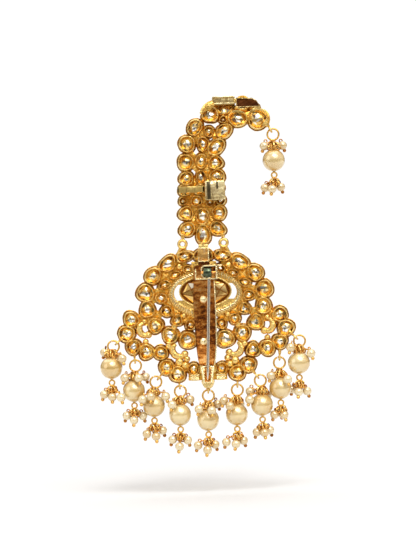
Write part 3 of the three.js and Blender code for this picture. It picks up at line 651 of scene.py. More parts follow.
def cell_shape(rng):
    """How far a hand-made cell is from round: a slightly pulled corner and a faint three-sided swell."""
    corner, side = rng.uniform(0, 2 * math.pi), rng.uniform(0, 2 * math.pi)
    pull, swell = rng.uniform(0.0, 0.11), rng.uniform(0.02, 0.075)
    return lambda a: 1 + pull * max(0.0, math.cos(a - corner)) ** 3 + swell * math.cos(3 * (a - side))


def reshaped(bm, shape):
    """Pulls a turned part out of round."""
    for vert in bm.verts:
        factor = shape(math.atan2(vert.co.z, vert.co.x))
        vert.co.x *= factor
        vert.co.z *= factor
    return bm


def uneven(bm, rng):
    """Gives a wall the soft dents of hand work. The clock seeds noise_vector, so they vary from run to run."""
    offset = Vector((rng.uniform(-50, 50), 0, 0))
    dent = 0.14
    for vert in bm.verts:
        vert.co += noise.noise_vector((vert.co + offset) * 0.8) * dent
    return bm


def wall_scale(mean):
    """Small cells have thinner walls."""
    return min(1.0, 0.45 + 0.55 * mean / 3.0)


# The wall's section: how far out from the cell's edge, and how far towards the front.
WALL_SECTION = [
    # the inner face and the rolled rim behind
    (-0.8, 0.35), (-0.74, -0.35), (-0.64, -1.0), (-0.56, -1.42), (-0.42, -1.56), (-0.28, -1.42),
    # the outer face, down to the floor between the cells
    (-0.14, -0.95), (0.0, -0.35), (0.05, 0.35), (0.14, 0.6),
    # the flange and the bezel in front
    (0.28, 0.36), (0.44, 0.45), (0.47, 0.85), (0.44, 1.3), (0.05, 1.58), (-0.32, 1.6), (-0.6, 1.36),
    (-0.76, 0.95),
]


def cell_wall(row):
    """The wall that holds a stone. A small cell's is thinner, but its flange reaches as far out."""
    mean = mean_radius(row)
    thin = wall_scale(mean)
    section = [(out if y > 0.5 and out > 0.1 else out * thin, y) for out, y in WALL_SECTION]
    return turned([(mean + out, y) for out, y in section], 24 if mean > 2 else 18, closed=True)


def rose_cut(bands, sides):
    """Bands of (radius, height, twist) turned round Y. A twisted band is half a side further round."""
    bm = turned([(radius, y) for radius, y, _ in bands], sides)
    twisted = [y for _, y, twist in bands if twist]
    for vert in bm.verts:
        if any(abs(vert.co.y - y) < 0.01 for y in twisted):
            vert.co = Matrix.Rotation(math.pi / sides, 3, "Y") @ vert.co
    return bm


def cut_stone(radius, rng):
    """A foiled stone: a shallow rose cut in front, and behind it a cut point inside the cell."""
    bands = [(0.0, -1.0, 0), (0.42, -0.82, 1), (0.8, -0.35, 0), (1.18, 0.25, 1), (1.1, 0.85, 0),
             (0.66, 1.28, 1), (0.0, 1.45, 0)]
    bm = rose_cut([(out * radius, y, twist) for out, y, twist in bands], 6)
    for vert in bm.verts:
        if vert.co.y < 0:
            vert.co += Vector([rng.uniform(-0.12, 0.12) * radius, rng.uniform(-0.16, 0.16), 0])
    bmesh.ops.triangulate(bm, faces=bm.faces)
    shine = bm.faces.layers.float.new("facet")
    # The order of the faces varies from run to run, and so does which facet gets which value.
    for face in bm.faces:
        middle = face.calc_center_median()
        # Painted reflections: facets near the point draw more of the white, grey and pale glints, the outer
        # ones more of the gold, amber and dark amber shade.
        near_point = math.hypot(middle.x, middle.z) / radius < 0.5
        face[shine] = rng.uniform(0.0, 0.62) if near_point else rng.uniform(0.3, 1.0)
    return moved(bm, Matrix.Rotation(rng.uniform(0, math.pi), 4, "Y"))


def add_cells(gold, stones, cells, rng):
    """Every cell with its stone. A cell is its side and its row."""
    for side, row in cells:
        if row["z"] < UNDER_FAN:
            continue
        place = cell_place(row, side)
        shape = cell_shape(rng)
        gold.add(uneven(reshaped(cell_wall(row), shape), rng), place)
        mean = mean_radius(row)
        stone = cut_stone(mean - 0.8 * wall_scale(mean), rng)
        stones.add(reshaped(stone, shape), place, flat=True)


def cell_spots(cells):
    return [(side * row["x"], row["z"], mean_radius(row)) for side, row in cells]


def webs(spots, openings, keep=lambda middle: True):
    """The casting's floor between neighbouring cells: triangles from middle to middle, but not at openings.
    A spot is (x, z, radius). The floor swells towards the back where it is clear of them."""
    points = [Vector((x, z)) for x, z, _ in spots]
    corners, _, faces, origins, *_ = delaunay_2d_cdt(points, [], [], 0, 1e-4)
    radii = [spots[origin[0]][2] for origin in origins]
    bm = bmesh.new()
    verts = [bm.verts.new((p.x, WEB_Y[0], p.y)) for p in corners]
    for face in faces:
        triangle = [corners[i] for i in face]
        sides = zip(face, [*face[1:], face[0]])
        gaps = [(corners[i] - corners[j]).length - radii[i] - radii[j] for i, j in sides]
        is_open = any(intersect_point_tri_2d(Vector(spot), *triangle) for spot in openings)
        if max(gaps) < WEB_REACH and not is_open and keep(sum(triangle, Vector((0, 0))) / 3):
            bm.faces.new([verts[i] for i in face])
    bmesh.ops.delete(bm, geom=[v for v in bm.verts if not v.link_faces], context="VERTS")
    bmesh.ops.subdivide_edges(bm, edges=bm.edges[:], cuts=6, use_grid_fill=True)
    lifted = set(verts_of(bmesh.ops.extrude_face_region(bm, geom=bm.faces[:])["geom"]))
    bmesh.ops.translate(bm, vec=(0, WEB_Y[1] - WEB_Y[0], 0), verts=list(lifted))
    for vert in set(bm.verts) - lifted:
        clear = min(math.hypot(vert.co.x - x, vert.co.z - z) - radius for x, z, radius in spots)
        swell = min(max(clear / 0.7, 0.0), 1.0)
        vert.co.y -= swell * (0.7 + 0.5 * noise.noise(vert.co * 0.9))
    return merged(bm)


def eyelet(drop):
    """A ring that stands edge-on to the plate, and the stub that joins it to its cell."""
    ring = Vector((drop["ring_x"], 0, drop["ring_z"]))
    direction = (Vector((drop["cell_x"], 0, drop["cell_z"])) - ring).normalized()
    centre = ring + direction * JUMP_RING
    face = Matrix.Translation(centre) @ Matrix.Rotation(-math.atan2(direction.z, direction.x), 4, "Y")
    ring_part = moved(loop(EYELET, WIRE, 18), face @ Matrix.Rotation(math.pi / 2, 4, "X"))
    stub = wire([centre + direction * (EYELET + reach) for reach in (0, 0.8, 1.6, 2.4)],
                [0.42, 0.6, 0.66, 0.6], 10)
    return ring_part, stub


# --- The plate ------------------------------------------------------------------------------------------

def swirl(row):
    """A tapering scroll with a ball at its inner end and a line of grains along its back."""
    centre, radius, start, end = (row["x"], row["z"]), row["radius"], row["start"], row["end"]
    points = arc(centre, radius, start, end, 16)
    radii = [0.75 + 0.6 * math.sin(math.pi * i / 16) for i in range(17)]
    ball = pebble(1.35, points[0], subdivisions=3)
    ball_cap = pebble(0.55, points[0] + Vector((0, -1.1, 0)), subdivisions=2)
    grains = [pebble(0.3, spot + Vector((0, -0.25, 0)))
              for spot in arc(centre, radius + 1.0, start + 30, end - 10, 13)]
    return [wire(points, radii, 10), ball, ball_cap, *grains]


def centre_band(gold):
    """Round the centre stone: a bezel with a ledge, a gadrooned oval and a line of grains."""
    x, z, across, up, wall = SETTING.values()

    def centre_oval(inset):
        return oval(x, z, across - inset, up - inset, OVAL_SIDES)

    gold.add(cut_sheet(centre_oval(0), BACK, FRONT, 0.25, centre_oval(wall)))
    gold.add(cut_sheet(centre_oval(0.3), 0.35, FRONT - 0.1, 0.1, centre_oval(wall + 1.0)))
    gold.add(cut_sheet(oval(x, BAND_Z - 0.3, 12.9, 8.3, OVAL_SIDES), BACK + 0.85, FRONT, 0.2,
                       oval(x, BAND_Z, 11.3, 6.0, OVAL_SIDES)))
    for low, high in ((z + 2.6, z + up), (z - 6.4, z - 3.0)):
        floor_ring = cut_sheet(oval(x, BAND_Z, 11.6, 6.6, OVAL_SIDES), BACK + 0.9, FRONT - 0.7, 0,
                               centre_oval(0.4))
        for height, beyond in ((low, -1), (high, 1)):
            bmesh.ops.holes_fill(floor_ring, edges=cut_away(floor_ring, height, beyond))
        gold.add(merged(floor_ring))
    for angle in round_angles(72):
        at = Vector((12.1 * math.cos(angle), 0, 7.2 * math.sin(angle)))
        lie = math.atan2(at.z * 1.3, at.x) + 0.6
        middle = Vector((x, BACK + 0.7, BAND_Z - 0.15))
        place = Matrix.Translation(middle + at) @ Matrix.Rotation(-lie, 4, "Y")
        rib_length = 0.85 + 0.55 * abs(math.sin(angle))
        gold.add(pebble(1, scale=(rib_length, 0.65, 0.3)), place, finish=1)
    for px, pz in oval(x, BAND_Z - 0.3, 12.95, 8.35, 80):
        gold.add(pebble(0.38, (px, BACK + 0.75, pz)))


def hanging_eyes(gold):
    """The pair of eyes beside the plume's foot, on split legs."""
    for side in BOTH:
        deep = Matrix.Translation((side * 7.4, 0, 25.0)) @ Matrix.Scale(1.6, 4, (0, 1, 0))
        gold.add(loop(1.35, 0.6, 22, 10), deep)
        for start, end, radius in (((8.0, 23.8), (9.3, 20.2), 0.7), ((6.6, 23.9), (5.6, 20.5), 0.5)):
            middle = ((start[0] + end[0]) / 2 + 0.25, (start[1] + end[1]) / 2)
            points = [(side * px, 0, pz) for px, pz in (start, middle, end)]
            gold.add(wire(points, [radius, radius * 0.95, radius * 1.2], 10))
        panel = [(side * px, pz) for px, pz in ((5.6, 20.4), (6.3, 23.6), (8.4, 23.8), (9.6, 20.6))]
        gold.add(cut_sheet(panel, 0.0, 0.8, 0.1))


def foot_ornament(gold):
    """The grained fan under the catch, its pointed eye, and the stepped scrolls beside it."""
    for side in BOTH:
        for height, reach, radius in ((-22.3, 6.2, 0.5), (-23.1, 6.5, 0.42), (-23.75, 6.1, 0.55)):
            ends = [(side * across, -0.6, height) for across in (3.2, reach - 0.3, reach)]
            gold.add(wire(ends, [radius, radius, radius * 0.6], 10), finish=1)
        gold.add(pebble(0.62, (side * 6.1, -0.1, -22.7), (1.0, 1.0, 1.2), 2))
    gold.add_blocks([
        ((-7.0, 0.2, -24.2), (7.0, FRONT - 0.4, -20.6), 0.2, 0),
        ((-3.0, -0.9, -21.5), (3.0, 0.9, -12.0), 0.3, 0),
    ])
    for row, count in enumerate((6, 7, 6, 5, 4)):
        for i in range(count):
            spread = (i - (count - 1) / 2) * 0.68
            bulge = 0.5 * math.cos(spread / 2.6)
            at = (spread, -1.0 - bulge, -24.2 - 0.62 * row + 0.04 * spread * spread)
            gold.add(pebble(0.42, at, (0.95, 0.9, 1.0), 2), finish=1)
    fan = [(-2.2, -24.0), (-2.3, -25.2), (-1.5, -26.8), (1.5, -26.8), (2.3, -25.2), (2.2, -24.0)]
    gold.add(cut_sheet(fan, -1.2, FRONT - 0.2, 0.3))
    for side in BOTH:
        gold.add(wire([(0, -0.2, -27.5), (side * 0.9, -0.2, -26.6), (side * 1.2, -0.2, -26.0)], 0.38, 8))


def plate_pieces():
    gold = Piece("plate_goldwork", [GOLD, PALE_GOLD], "gold", replaces=["plate_frame"])
    stones = Piece("plate_stones", [STONE], "stone")
    add_cells(gold, stones, mirrored(PLATE_CELLS), random.Random(11))
    gold.add(block((-4.5, -0.6, 15.3), (4.5, 0.9, 18.6), 0.3))
    centre_band(gold)
    hanging_eyes(gold)
    foot_ornament(gold)
    for side, row in mirrored(SWIRLS):
        gold.add_all(swirl(row), Matrix.Diagonal((side, 1, 1, 1)))
    for side, row in mirrored(BEADS):
        gold.add(pebble(row["radius"], (side * row["x"], 0, row["z"]), subdivisions=3))
    for drop in DROPS[:-1]:
        gold.add_all(eyelet(drop))
    gold.add(plate_web())
    gold.done()
    stones.done()


def plate_web():
    """The floor between the plate's cells, beads and oval band."""
    x = SETTING["x"]
    spots = cell_spots(mirrored(PLATE_CELLS))
    spots += [(side * row["x"], row["z"], row["radius"]) for side, row in mirrored(BEADS)]
    spots += [(px, pz, 1.0) for px, pz in oval(x, BAND_Z, 12.3, 7.3, 28)]
    openings = [(side * px, pz) for px, pz in PLATE_OPENINGS for side in BOTH]
    return webs(spots, openings, keep=lambda at: math.hypot((at.x - x) / 11.8, (at.y - BAND_Z) / 6.8) > 1)


# --- The plume ------------------------------------------------------------------------------------------

def fold_forward(bm):
    """The plume's top edge turns forward through a quarter turn and then runs level."""
    for vert in bm.verts:
        over = vert.co.z - BEND_FROM
        if over <= 0:
            continue
        angle = min(over / BEND_RADIUS, math.pi / 2)
        past = max(over - BEND_RADIUS * math.pi / 2, 0)
        reach = BEND_RADIUS - vert.co.y
        vert.co.y = BEND_RADIUS - reach * math.cos(angle) + past
        vert.co.z = BEND_FROM + reach * math.sin(angle)


def plume_pieces():
    gold = Piece("plume_goldwork", [GOLD], "gold", replaces=["plume_frame"])
    stones = Piece("plume_stones", [STONE], "stone")
    cells = [(1, row) for row in PLUME_CELLS]
    add_cells(gold, stones, cells, random.Random(23))
    gold.add(webs(cell_spots(cells), PLUME_OPENINGS))
    gold.add(cut_sheet([(22.4, 66.6), (24.9, 66.4), (24.6, 69.5)], -1.2, 1.2, 0.3))
    for side in BOTH:
        foot = [(side * 6.6, 0, 28.6), (side * 7.2, 0, 27.6), (side * 7.4, 0, 26.95)]
        gold.add(wire(foot, [0.9, 0.7, 0.75], 10))
    gold.add(wire([(0, 0, 25.5), (0, 0, 24.4), (0, 0, 23.6)], [1.5, 1.25, 1.5], 12))
    gold.add(wire(arc((21.2, 69.1), 4.05, -45, 95, 14), 0.55, 8))
    gold.add_all(eyelet(DROPS[-1]))
    for piece in (gold, stones):
        fold_forward(piece.bm)
        piece.done()


# --- The centre stone -----------------------------------------------------------------------------------

def centre_stone():
    """A wide rose-cut stone: flat facets painted with reflections of their own, meeting in ridges painted dark
    as reflected lines, front and back, over a dark seat.
    """
    x, z, across, up, wall = SETTING.values()
    rng = random.Random(5)
    bm = rose_cut([(0.0, -1.2, 0), (0.6, -1.0, 1), (1.0, -0.5, 0), (1.0, 0.3, 0), (0.55, 1.2, 1),
                   (0.0, 1.5, 0)], 7)
    bmesh.ops.triangulate(bm, faces=bm.faces)
    stretch = Matrix.Diagonal((across - wall - GAP, 1, up - wall - GAP, 1))
    place = Matrix.Translation((x, 0, z)) @ stretch
    moved(bm, place @ Matrix.Rotation(0.3, 4, "Y"))
    # The layer is added before the bevel, because adding it later would lose the bevel's list of faces.
    shine = bm.faces.layers.float.new("facet")
    edges = [e for e in bm.edges if e.calc_face_angle(0) > math.radians(2)]
    # Painted reflection: the narrow bevel faces along the facet edges take the dark ridge colour.
    made = bmesh.ops.bevel(bm, geom=edges, offset=0.16, segments=1, profile=0.5, affect="EDGES", material=1)
    ridges = set(made["faces"])
    # Each facet gets a random painted reflection colour.
    for face in bm.faces:
        face[shine] = rng.uniform(0, 1)
    numbers = [face.material_index if face in ridges else 0 for face in bm.faces]
    piece = Piece("centre_stone_cut", [CENTRE_STONE, RIDGE], "stone", replaces=["centre_stone"])
    piece.add(bm, flat=True)
    for face, number in zip(piece.bm.faces, numbers):
        face.material_index = number
    piece.add(turned([(0, -0.25), (1.0, -0.25), (1.0, 0.2), (0, 0.2)], 40), place, finish=1)
    piece.done()


# --- The back plate, the pin and its hinge and catch ----------------------------------------------------

def prong_plate():
    """A long boat-shaped sheet with its right edge turned up."""
    piece = Piece("prong_plate_sheet", [COPPERED, PALE_GOLD], "mirror_gold", replaces=["prong_plate"])
    outline = [(row["right"], row["z"]) for row in PRONG_SHAPE]
    outline += [(row["left"], row["z"]) for row in reversed(PRONG_SHAPE)]
    piece.add(cut_sheet(outline, PRONG["far"], PRONG["near"], 0.18))
    edge = [(row["right"], row["z"]) for row in PRONG_SHAPE if row["z"] < 12]
    lip = edge + [(x - 0.45, z) for x, z in reversed(edge)]
    piece.add(cut_sheet(lip, PRONG["far"] - 0.9, PRONG["far"] + 0.1, 0.12), finish=1)
    piece.done()


def rivets():
    head = PRONG["far"] - GAP
    for row in RIVETS:
        piece = Piece(f"{row['name']}_head", [PALE_GOLD], "bright_gold", replaces=[row["name"]])
        dome = [(1.4 * math.cos(a), head - math.sin(a)) for a in [math.pi / 2 * i / 6 for i in range(7)]]
        profile = [(0, PRONG["near"]), (0.6, PRONG["near"]), (0.6, head), *dome[:-1], (0, head - 1.0)]
        piece.add(turned(profile, 24), Matrix.Translation((row["x"], 0, row["z"])))
        piece.done()


def rounded_outline(low, high, radii, steps=5):
    """A rectangle in the plane of the plate, with a radius for each corner from the lower left one on."""
    (x0, z0), (x1, z1) = low, high
    corners = [(x0, z0, 1, 1, 180), (x1, z0, -1, 1, 270), (x1, z1, -1, -1, 0), (x0, z1, 1, -1, 90)]
    outline = []
    for (x, z, to_x, to_z, start), radius in zip(corners, radii):
        centre = (x + to_x * radius, z + to_z * radius)
        outline += [(p.x, p.z) for p in arc(centre, radius, start, start + 90, steps)]
    return outline


def hinge_housing():
    """A box open to the back, round the knuckle, on a tongue with an edge bent up round it."""
    piece = Piece("hinge_box", [PALE_GOLD, COPPERED, DARK_BROWN_SHEET], "bright_gold",
                  replaces=["hinge_housing"])
    left, right, low, high = -1.15, 4.75, 12.0, 17.15
    floor, far, wall = PRONG["far"] - GAP, HINGE.y - 1.1, 0.5
    outer = rounded_outline((left, low), (right, high), (2.2, 0.5, 0.5, 1.4))
    inner = rounded_outline((left + wall, low + wall), (right - wall, high - wall), (1.8, 0.2, 0.2, 1.0))
    piece.add(cut_sheet(outer, NEEDLE_Y + 0.95, floor, 0.1, inner))
    cheek_right = rounded_outline((right - wall - 0.15, low), (right, high), (0.1, 0.2, 0.2, 0.1))
    piece.add(cut_sheet(cheek_right, far, floor, 0.12))
    piece.add_blocks([
        ((left + 0.9, far, high - wall), (right + 1.7, floor, high), 0.14, 0),
        ((left - 2.2, floor - 0.4, low), (right, floor, high), 0.12, 1),
        ((left - 2.2, floor - 1.0, low), (right, floor, low + 0.45), 0.12, 0),
        ((left - 2.2, floor - 1.0, low), (left - 1.65, floor, high - 1.4), 0.14, 0),
        ((left - 1.0, floor - 0.6, high - 0.35), (right - 1.0, floor - 0.1, high), 0.1, 2),
    ])
    piece.add(turned([(0, left + 0.1), (0.45, left + 0.1), (0.45, right - 0.1), (0, right - 0.1)], 16, "X"),
              Matrix.Translation((0, HINGE.y, HINGE.z)), finish=1)
    piece.done()


def pin():
    """The knuckle, dark with age, and the needle soldered to its lower side."""
    piece = Piece("pin_needle", [STEEL, KNUCKLE, PALE_GOLD], "steel", body="pin", replaces=["pin_stem"])
    length, bore = 1.5, 0.8
    barrel = [(bore, -length), (1.35, -length), (1.66, -length + 0.25), (1.85, -length + 0.7), (1.85, 0.7),
              (1.72, length - 0.2), (1.35, length), (bore, length)]
    piece.add(turned(barrel, 28, "X", closed=True), Matrix.Translation(HINGE), finish=1)
    root, tip = Vector((HINGE.x + 0.5, NEEDLE_Y, HINGE.z - 1.3)), Vector((0.05, NEEDLE_Y, -20.5))
    along = (tip - root).normalized()
    end = tip + along * 3.55
    stations = [(root, NEEDLE), (root.lerp(tip, 0.5), NEEDLE), (tip, NEEDLE * 0.98),
                (tip.lerp(end, 0.5), NEEDLE * 0.8), (tip.lerp(end, 0.85), NEEDLE * 0.4), (end, 0.04)]
    piece.add(wire([p for p, _ in stations], [r for _, r in stations], 20))
    collar = root + along * 0.75
    piece.add(turned([(0.4, -0.2), (0.72, -0.15), (0.78, 0), (0.72, 0.15), (0.4, 0.2)], 18, "Z", closed=True),
              towards(along, collar), finish=2)
    piece.done()


def pin_catch():
    """A trough folded to a V, open at the top and closed below."""
    piece = Piece("pin_catch_trough", [PALE_GOLD, COPPERED], "bright_gold", replaces=["pin_catch"])
    top, bottom, wall = -19.0, -24.9, 0.45
    far, floor = NEEDLE_Y - 0.9, PRONG["near"]
    half_top, half_bottom = 2.45, 1.65
    above = top + 2
    lean = half_top + 2 * (half_top - half_bottom) / (top - bottom)
    tall = [(-lean, above), (-half_bottom, bottom), (half_bottom, bottom), (lean, above)]
    bm = cut_sheet(tall, far, floor)
    back = [f for f in bm.faces if all(abs(v.co.y - far) < 1e-4 for v in f.verts)]
    bmesh.ops.inset_region(bm, faces=back, thickness=wall, depth=0)
    sunk = verts_of(bmesh.ops.extrude_face_region(bm, geom=back)["geom"])
    bmesh.ops.delete(bm, geom=back, context="FACES")
    bmesh.ops.translate(bm, vec=(0, floor - 0.6 - far, 0), verts=sunk)
    bmesh.ops.edgeloop_fill(bm, edges=cut_away(bm, top, 1))
    piece.add(eased(merged(bm), 0.1), Matrix.Translation((-0.05, 0, 0)))
    for side in BOTH:
        for i in range(10):
            t = i / 9
            across = side * (half_top + (half_bottom - half_top) * t - 0.36) - 0.05
            piece.add(pebble(0.48, (across, far + 0.3, top - 0.3 + (bottom - top + 0.6) * t), subdivisions=2))
    piece.add(block((-1.2, floor - 0.75, bottom + 0.5), (1.1, floor - 0.55, top - 0.3), 0.05), finish=1)
    piece.done()


def neck_bracket():
    """A flat strip over the plume's lowest leaf: a rimmed panel, a plain tail above and a dark one below."""
    piece = Piece("neck_strip", [NECK_BRASS, PALE_GOLD, GOLD, DARK_BROWN_SHEET], "bright_gold",
                  replaces=["neck_bracket"])
    near, far = BACK - GAP, BACK - GAP - 0.6
    low, high = 18.4, 23.5
    rims = [((-2.0, far - 0.4, z), (2.0, far + 0.1, z + 0.4), 0.12, 1) for z in (low, high - 0.4)]
    piece.add_blocks([
        ((-2.0, far, low), (2.0, near, high), 0.12, 0),
        ((1.6, far - 0.6, low), (2.0, far + 0.1, high), 0.1, 1),
        *rims,
        ((-1.7, far + 0.1, high - 0.2), (1.8, near, 24.6), 0.12, 2),
        ((-2.0, far + 0.1, 17.4), (2.0, near, low + 0.2), 0.12, 3),
    ])
    piece.done()


# --- The feather holders --------------------------------------------------------------------------------

MID_TUBE = {"x": 5.0, "z": 43.8, "width": 7.2, "depth": 3.0, "length": 6.7}
TOP_TUBE = {"x": 9.25, "z": BEND_FROM + BEND_RADIUS - BACK + GAP, "width": 8.3, "depth": 2.9, "length": 5.0}


def box_tube(width, depth, length):
    """A tube with rounded corners, open at both ends, with its length along Y and its floor at z 0."""
    wall = 0.5
    outer = rounded_outline((-width / 2, 0), (width / 2, depth), (0.35, 0.35, 0.7, 0.5), 4)
    inner = rounded_outline((-width / 2 + wall, wall), (width / 2 - wall, depth - wall),
                            (0.1, 0.1, 0.3, 0.2), 4)
    return cut_sheet(outer, -length / 2, length / 2, 0.1, inner)


def mid_holder():
    """The tube at the plume's mid-height, pressed in towards its upper right corner, with dark reflections
    painted on its back.
    """
    x, z, width, depth, length = MID_TUBE.values()
    piece = Piece("mid_feather_tube", [BRASS, PAINTED_REFLECTION_BRASS], "bright_gold", replaces=["mid_tube"])
    stand = Matrix.Translation((x, BACK - GAP, z)) @ Matrix.Rotation(math.pi / 2, 4, "X")
    tube = moved(box_tube(width, depth, length), stand)
    long = [e for e in tube.edges if e.calc_length() > 3]
    bmesh.ops.subdivide_edges(tube, edges=long, cuts=5, use_grid_fill=True)
    left, far = x - width / 2, BACK - GAP - depth
    for vert in tube.verts:
        over = min(max((vert.co.x - left - 1.2) / 2.5, 0.0), 1.0) * (vert.co.z - z + length / 2) / length
        if vert.co.y < far + 0.4:
            vert.co.y += 0.4 * over
    piece.add(tube)
    low, high = z - 3.2, z + 3.2
    # Painted reflections: two thin near-black strips on the tube's back face, a stripe near its left edge and
    # a short strip at its top, right of the middle.
    piece.add_blocks([
        ((left + 0.75, far - 0.06, low), (left + 2.0, far + 0.1, high), 0.04, 1),
        ((left + 4.1, far - 0.04, high - 2.6), (left + 4.7, far + 0.4, high), 0.02, 1),
    ])
    piece.done()


def top_holder():
    """The tube that lies on the plume's folded top edge, and the shoulder below its left end."""
    x, z, width, depth, length = TOP_TUBE.values()
    piece = Piece("top_feather_tube", [BRASS, GOLD], "bright_gold", replaces=["top_tube"])
    lie = Matrix.Translation((x, 0.9 + length / 2, z))
    piece.add(box_tube(width, depth, length), lie)
    half, far = width / 2, length / 2
    piece.add(block((-half + 0.3, -far + 0.8, 0.3), (half - 0.3, far, depth - 0.3), 0.3, 3), lie)
    piece.add(block((-half + 0.1, -far + 0.3, -0.3), (half - 0.1, far, 0.1), 0.08), lie, finish=1)
    shoulder = [(0.9, -1.0, 71.6), (1.5, -0.8, 73.2), (2.5, -0.2, 74.6), (3.9, 0.6, 75.6), (5.2, 1.2, 76.1)]
    piece.add(wire(shoulder, 0.5, 8), finish=1)
    sheet = [(1.0, 71.6), (5.0, 73.4), (6.0, 74.6), (5.2, 76.1), (3.9, 75.6), (2.5, 74.6), (1.5, 73.2)]
    piece.add(cut_sheet(sheet, -0.5, 0.2, 0.1), finish=1)
    piece.done()


def mid_band():
    """A bridge of sheet that carries the middle tube on towards the plume's left edge."""
    near, far = BACK - GAP, BACK - GAP - 2.4
    right = MID_TUBE["x"] - MID_TUBE["width"] / 2 - GAP
    piece = Piece("mid_band", [STRAP_BRASS], "bright_gold", replaces=["mid_strap"])
    piece.add_blocks([
        ((-8.5, far, 43.3), (right, near - 1.8, 45.5), 0.12, 0),
        ((-8.5, far, 43.3), (-7.9, near, 45.5), 0.12, 0),
        ((right - 0.6, far, 43.3), (right, near, 45.5), 0.12, 0),
    ])
    piece.done()


def top_band():
    """A flattened loop of sheet, its inside filled with a dark brown sheet as painted shade, which carries the
    top tube on to a knob.
    """
    left = TOP_TUBE["x"] + TOP_TUBE["width"] / 2 + GAP
    y0, y1 = -0.4, 3.8
    foot, head = TOP_TUBE["z"] - 1.4, TOP_TUBE["z"] + 2.1
    piece = Piece("top_band", [PALE_GOLD, GOLD, DARK_BROWN_SHEET], "bright_gold", replaces=["top_strap"])
    outer, inner = [[(left + inset, foot + inset), (22.4 - inset, foot + inset),
                     (21.2 - inset / 2, head - 1.3 - inset / 2), (19.4, head - 0.2 - inset),
                     (left + inset, head - inset)] for inset in (0, 0.3)]
    piece.add(over_fold(cut_sheet(outer, y0, y1, 0.0, inner)))
    # Painted shade: a dark brown sheet fills the loop's inside, the gap under the band that lies in shadow.
    filling = [(x, min(z, head - 0.7)) for x, z in inner]
    piece.add(over_fold(cut_sheet(filling, y0 + 0.3, y1 - 0.2)), finish=2)
    piece.add(block((left - GAP - 0.5, 0.2, foot + 1.6), (left + 0.1, 0.7, head - 0.3), 0.08))
    knob = [(0, -0.7), (1.6, -0.7), (1.9, -0.5), (2.0, -0.2), (2.0, 0.4), (1.7, 0.7), (0, 0.7)]
    at = Matrix.Translation((left + 2.4, y1 + 0.4, head - 0.5))
    piece.add(turned(knob, 24), at @ Matrix.Diagonal((1.15, 1, 0.8, 1)), finish=1)
    piece.done()


def over_fold(bm):
    """Lifts what would reach into the plume's fold to just above it."""
    bmesh.ops.triangulate(bm, faces=bm.faces)
    bmesh.ops.subdivide_edges(bm, edges=bm.edges[:], cuts=3)
    reach = BEND_RADIUS - BACK + 0.05
    for vert in bm.verts:
        inward = reach ** 2 - (BEND_RADIUS - vert.co.y) ** 2
        if inward > 0:
            vert.co.z = max(vert.co.z, BEND_FROM + math.sqrt(inward))
    return merged(bm)


# --- The drops ------------------------------------------------------------------------------------------

EYE_Z = -BIG_PEARL - LOW_EYE - WIRE
KNOT_Z = EYE_Z - LOW_EYE - WIRE - GAP - 0.7
COLLAR_Z = BIG_PEARL + 0.57

# The tangles of wire ends over each big pearl and at the knot below it.
CROWNS = table("height radius loops size finish", [
    (COLLAR_Z + 0.75, 1.15, 8, 0.95, 1), (KNOT_Z + 0.2, 0.85, 7, 0.8, 1),
    (COLLAR_Z + 0.1, 1.65, 10, 0.85, 0), (KNOT_Z - 0.6, 1.35, 8, 0.75, 0),
    (COLLAR_Z + 1.4, 0.7, 5, 0.7, 0), (KNOT_Z - 1.3, 0.6, 5, 0.6, 0),
])


def bored_pearl(radius, bore, sides, bands):
    """A pearl drilled along Z, slightly dished where the wire goes in."""
    first = math.asin(bore / radius)
    angles = [first + (math.pi - 2 * first) * i / bands for i in range(bands + 1)]
    skin = [(radius * math.sin(a), radius * math.cos(a)) for a in angles]
    return turned(skin, sides, "Z", closed=True)


def crown(rng, height, radius, loops, size):
    """Wire loops that stand side by side round the Z axis, as the ends of wound wires do."""
    parts = []
    for i in range(loops):
        turn = Matrix.Rotation(2 * math.pi * i / loops + rng.uniform(-0.15, 0.15), 4, "Z")
        nod = Matrix.Rotation(rng.uniform(-0.35, 0.35), 4, "Y")
        tilt = nod @ Matrix.Rotation(rng.uniform(-0.4, 0.4), 4, "Z")
        at = Matrix.Translation((radius, 0, height + rng.uniform(-0.25, 0.25)))
        parts.append(moved(loop(size * rng.uniform(0.85, 1.15), 0.24, 14, 6), turn @ at @ tilt))
    return parts


def strand_parts(row, start):
    """From a point: the metal of a strand, which is its wires and end ball, and the small pearl on it."""
    end, start = Vector(row), Vector(start)
    away = Vector((end.x - start.x, end.y - start.y, 0)).normalized()
    along = (LEAN * away - Vector((0, 0, 1))).normalized()
    head = end - along * (SMALL_PEARL - 0.2)
    sag = start.lerp(head, 0.55) + Vector((0, 0, 0.3))
    shank = wire([start, start.lerp(sag, 0.5) + Vector((0, 0, 0.1)), sag, head], 0.3, 6)
    link = moved(loop(0.55, 0.22, 14, 6), towards(along, head - along * 0.45))
    bead = moved(bored_pearl(SMALL_PEARL, 0.3, 20, 12), towards(along, end))
    tail = end + along * (SMALL_PEARL + 0.5 * END_BALL)
    ball = pebble(END_BALL, tail, subdivisions=3)
    neck = wire([end + along * (SMALL_PEARL - 0.3), tail], 0.24, 6)
    return [shank, link, neck, ball], bead


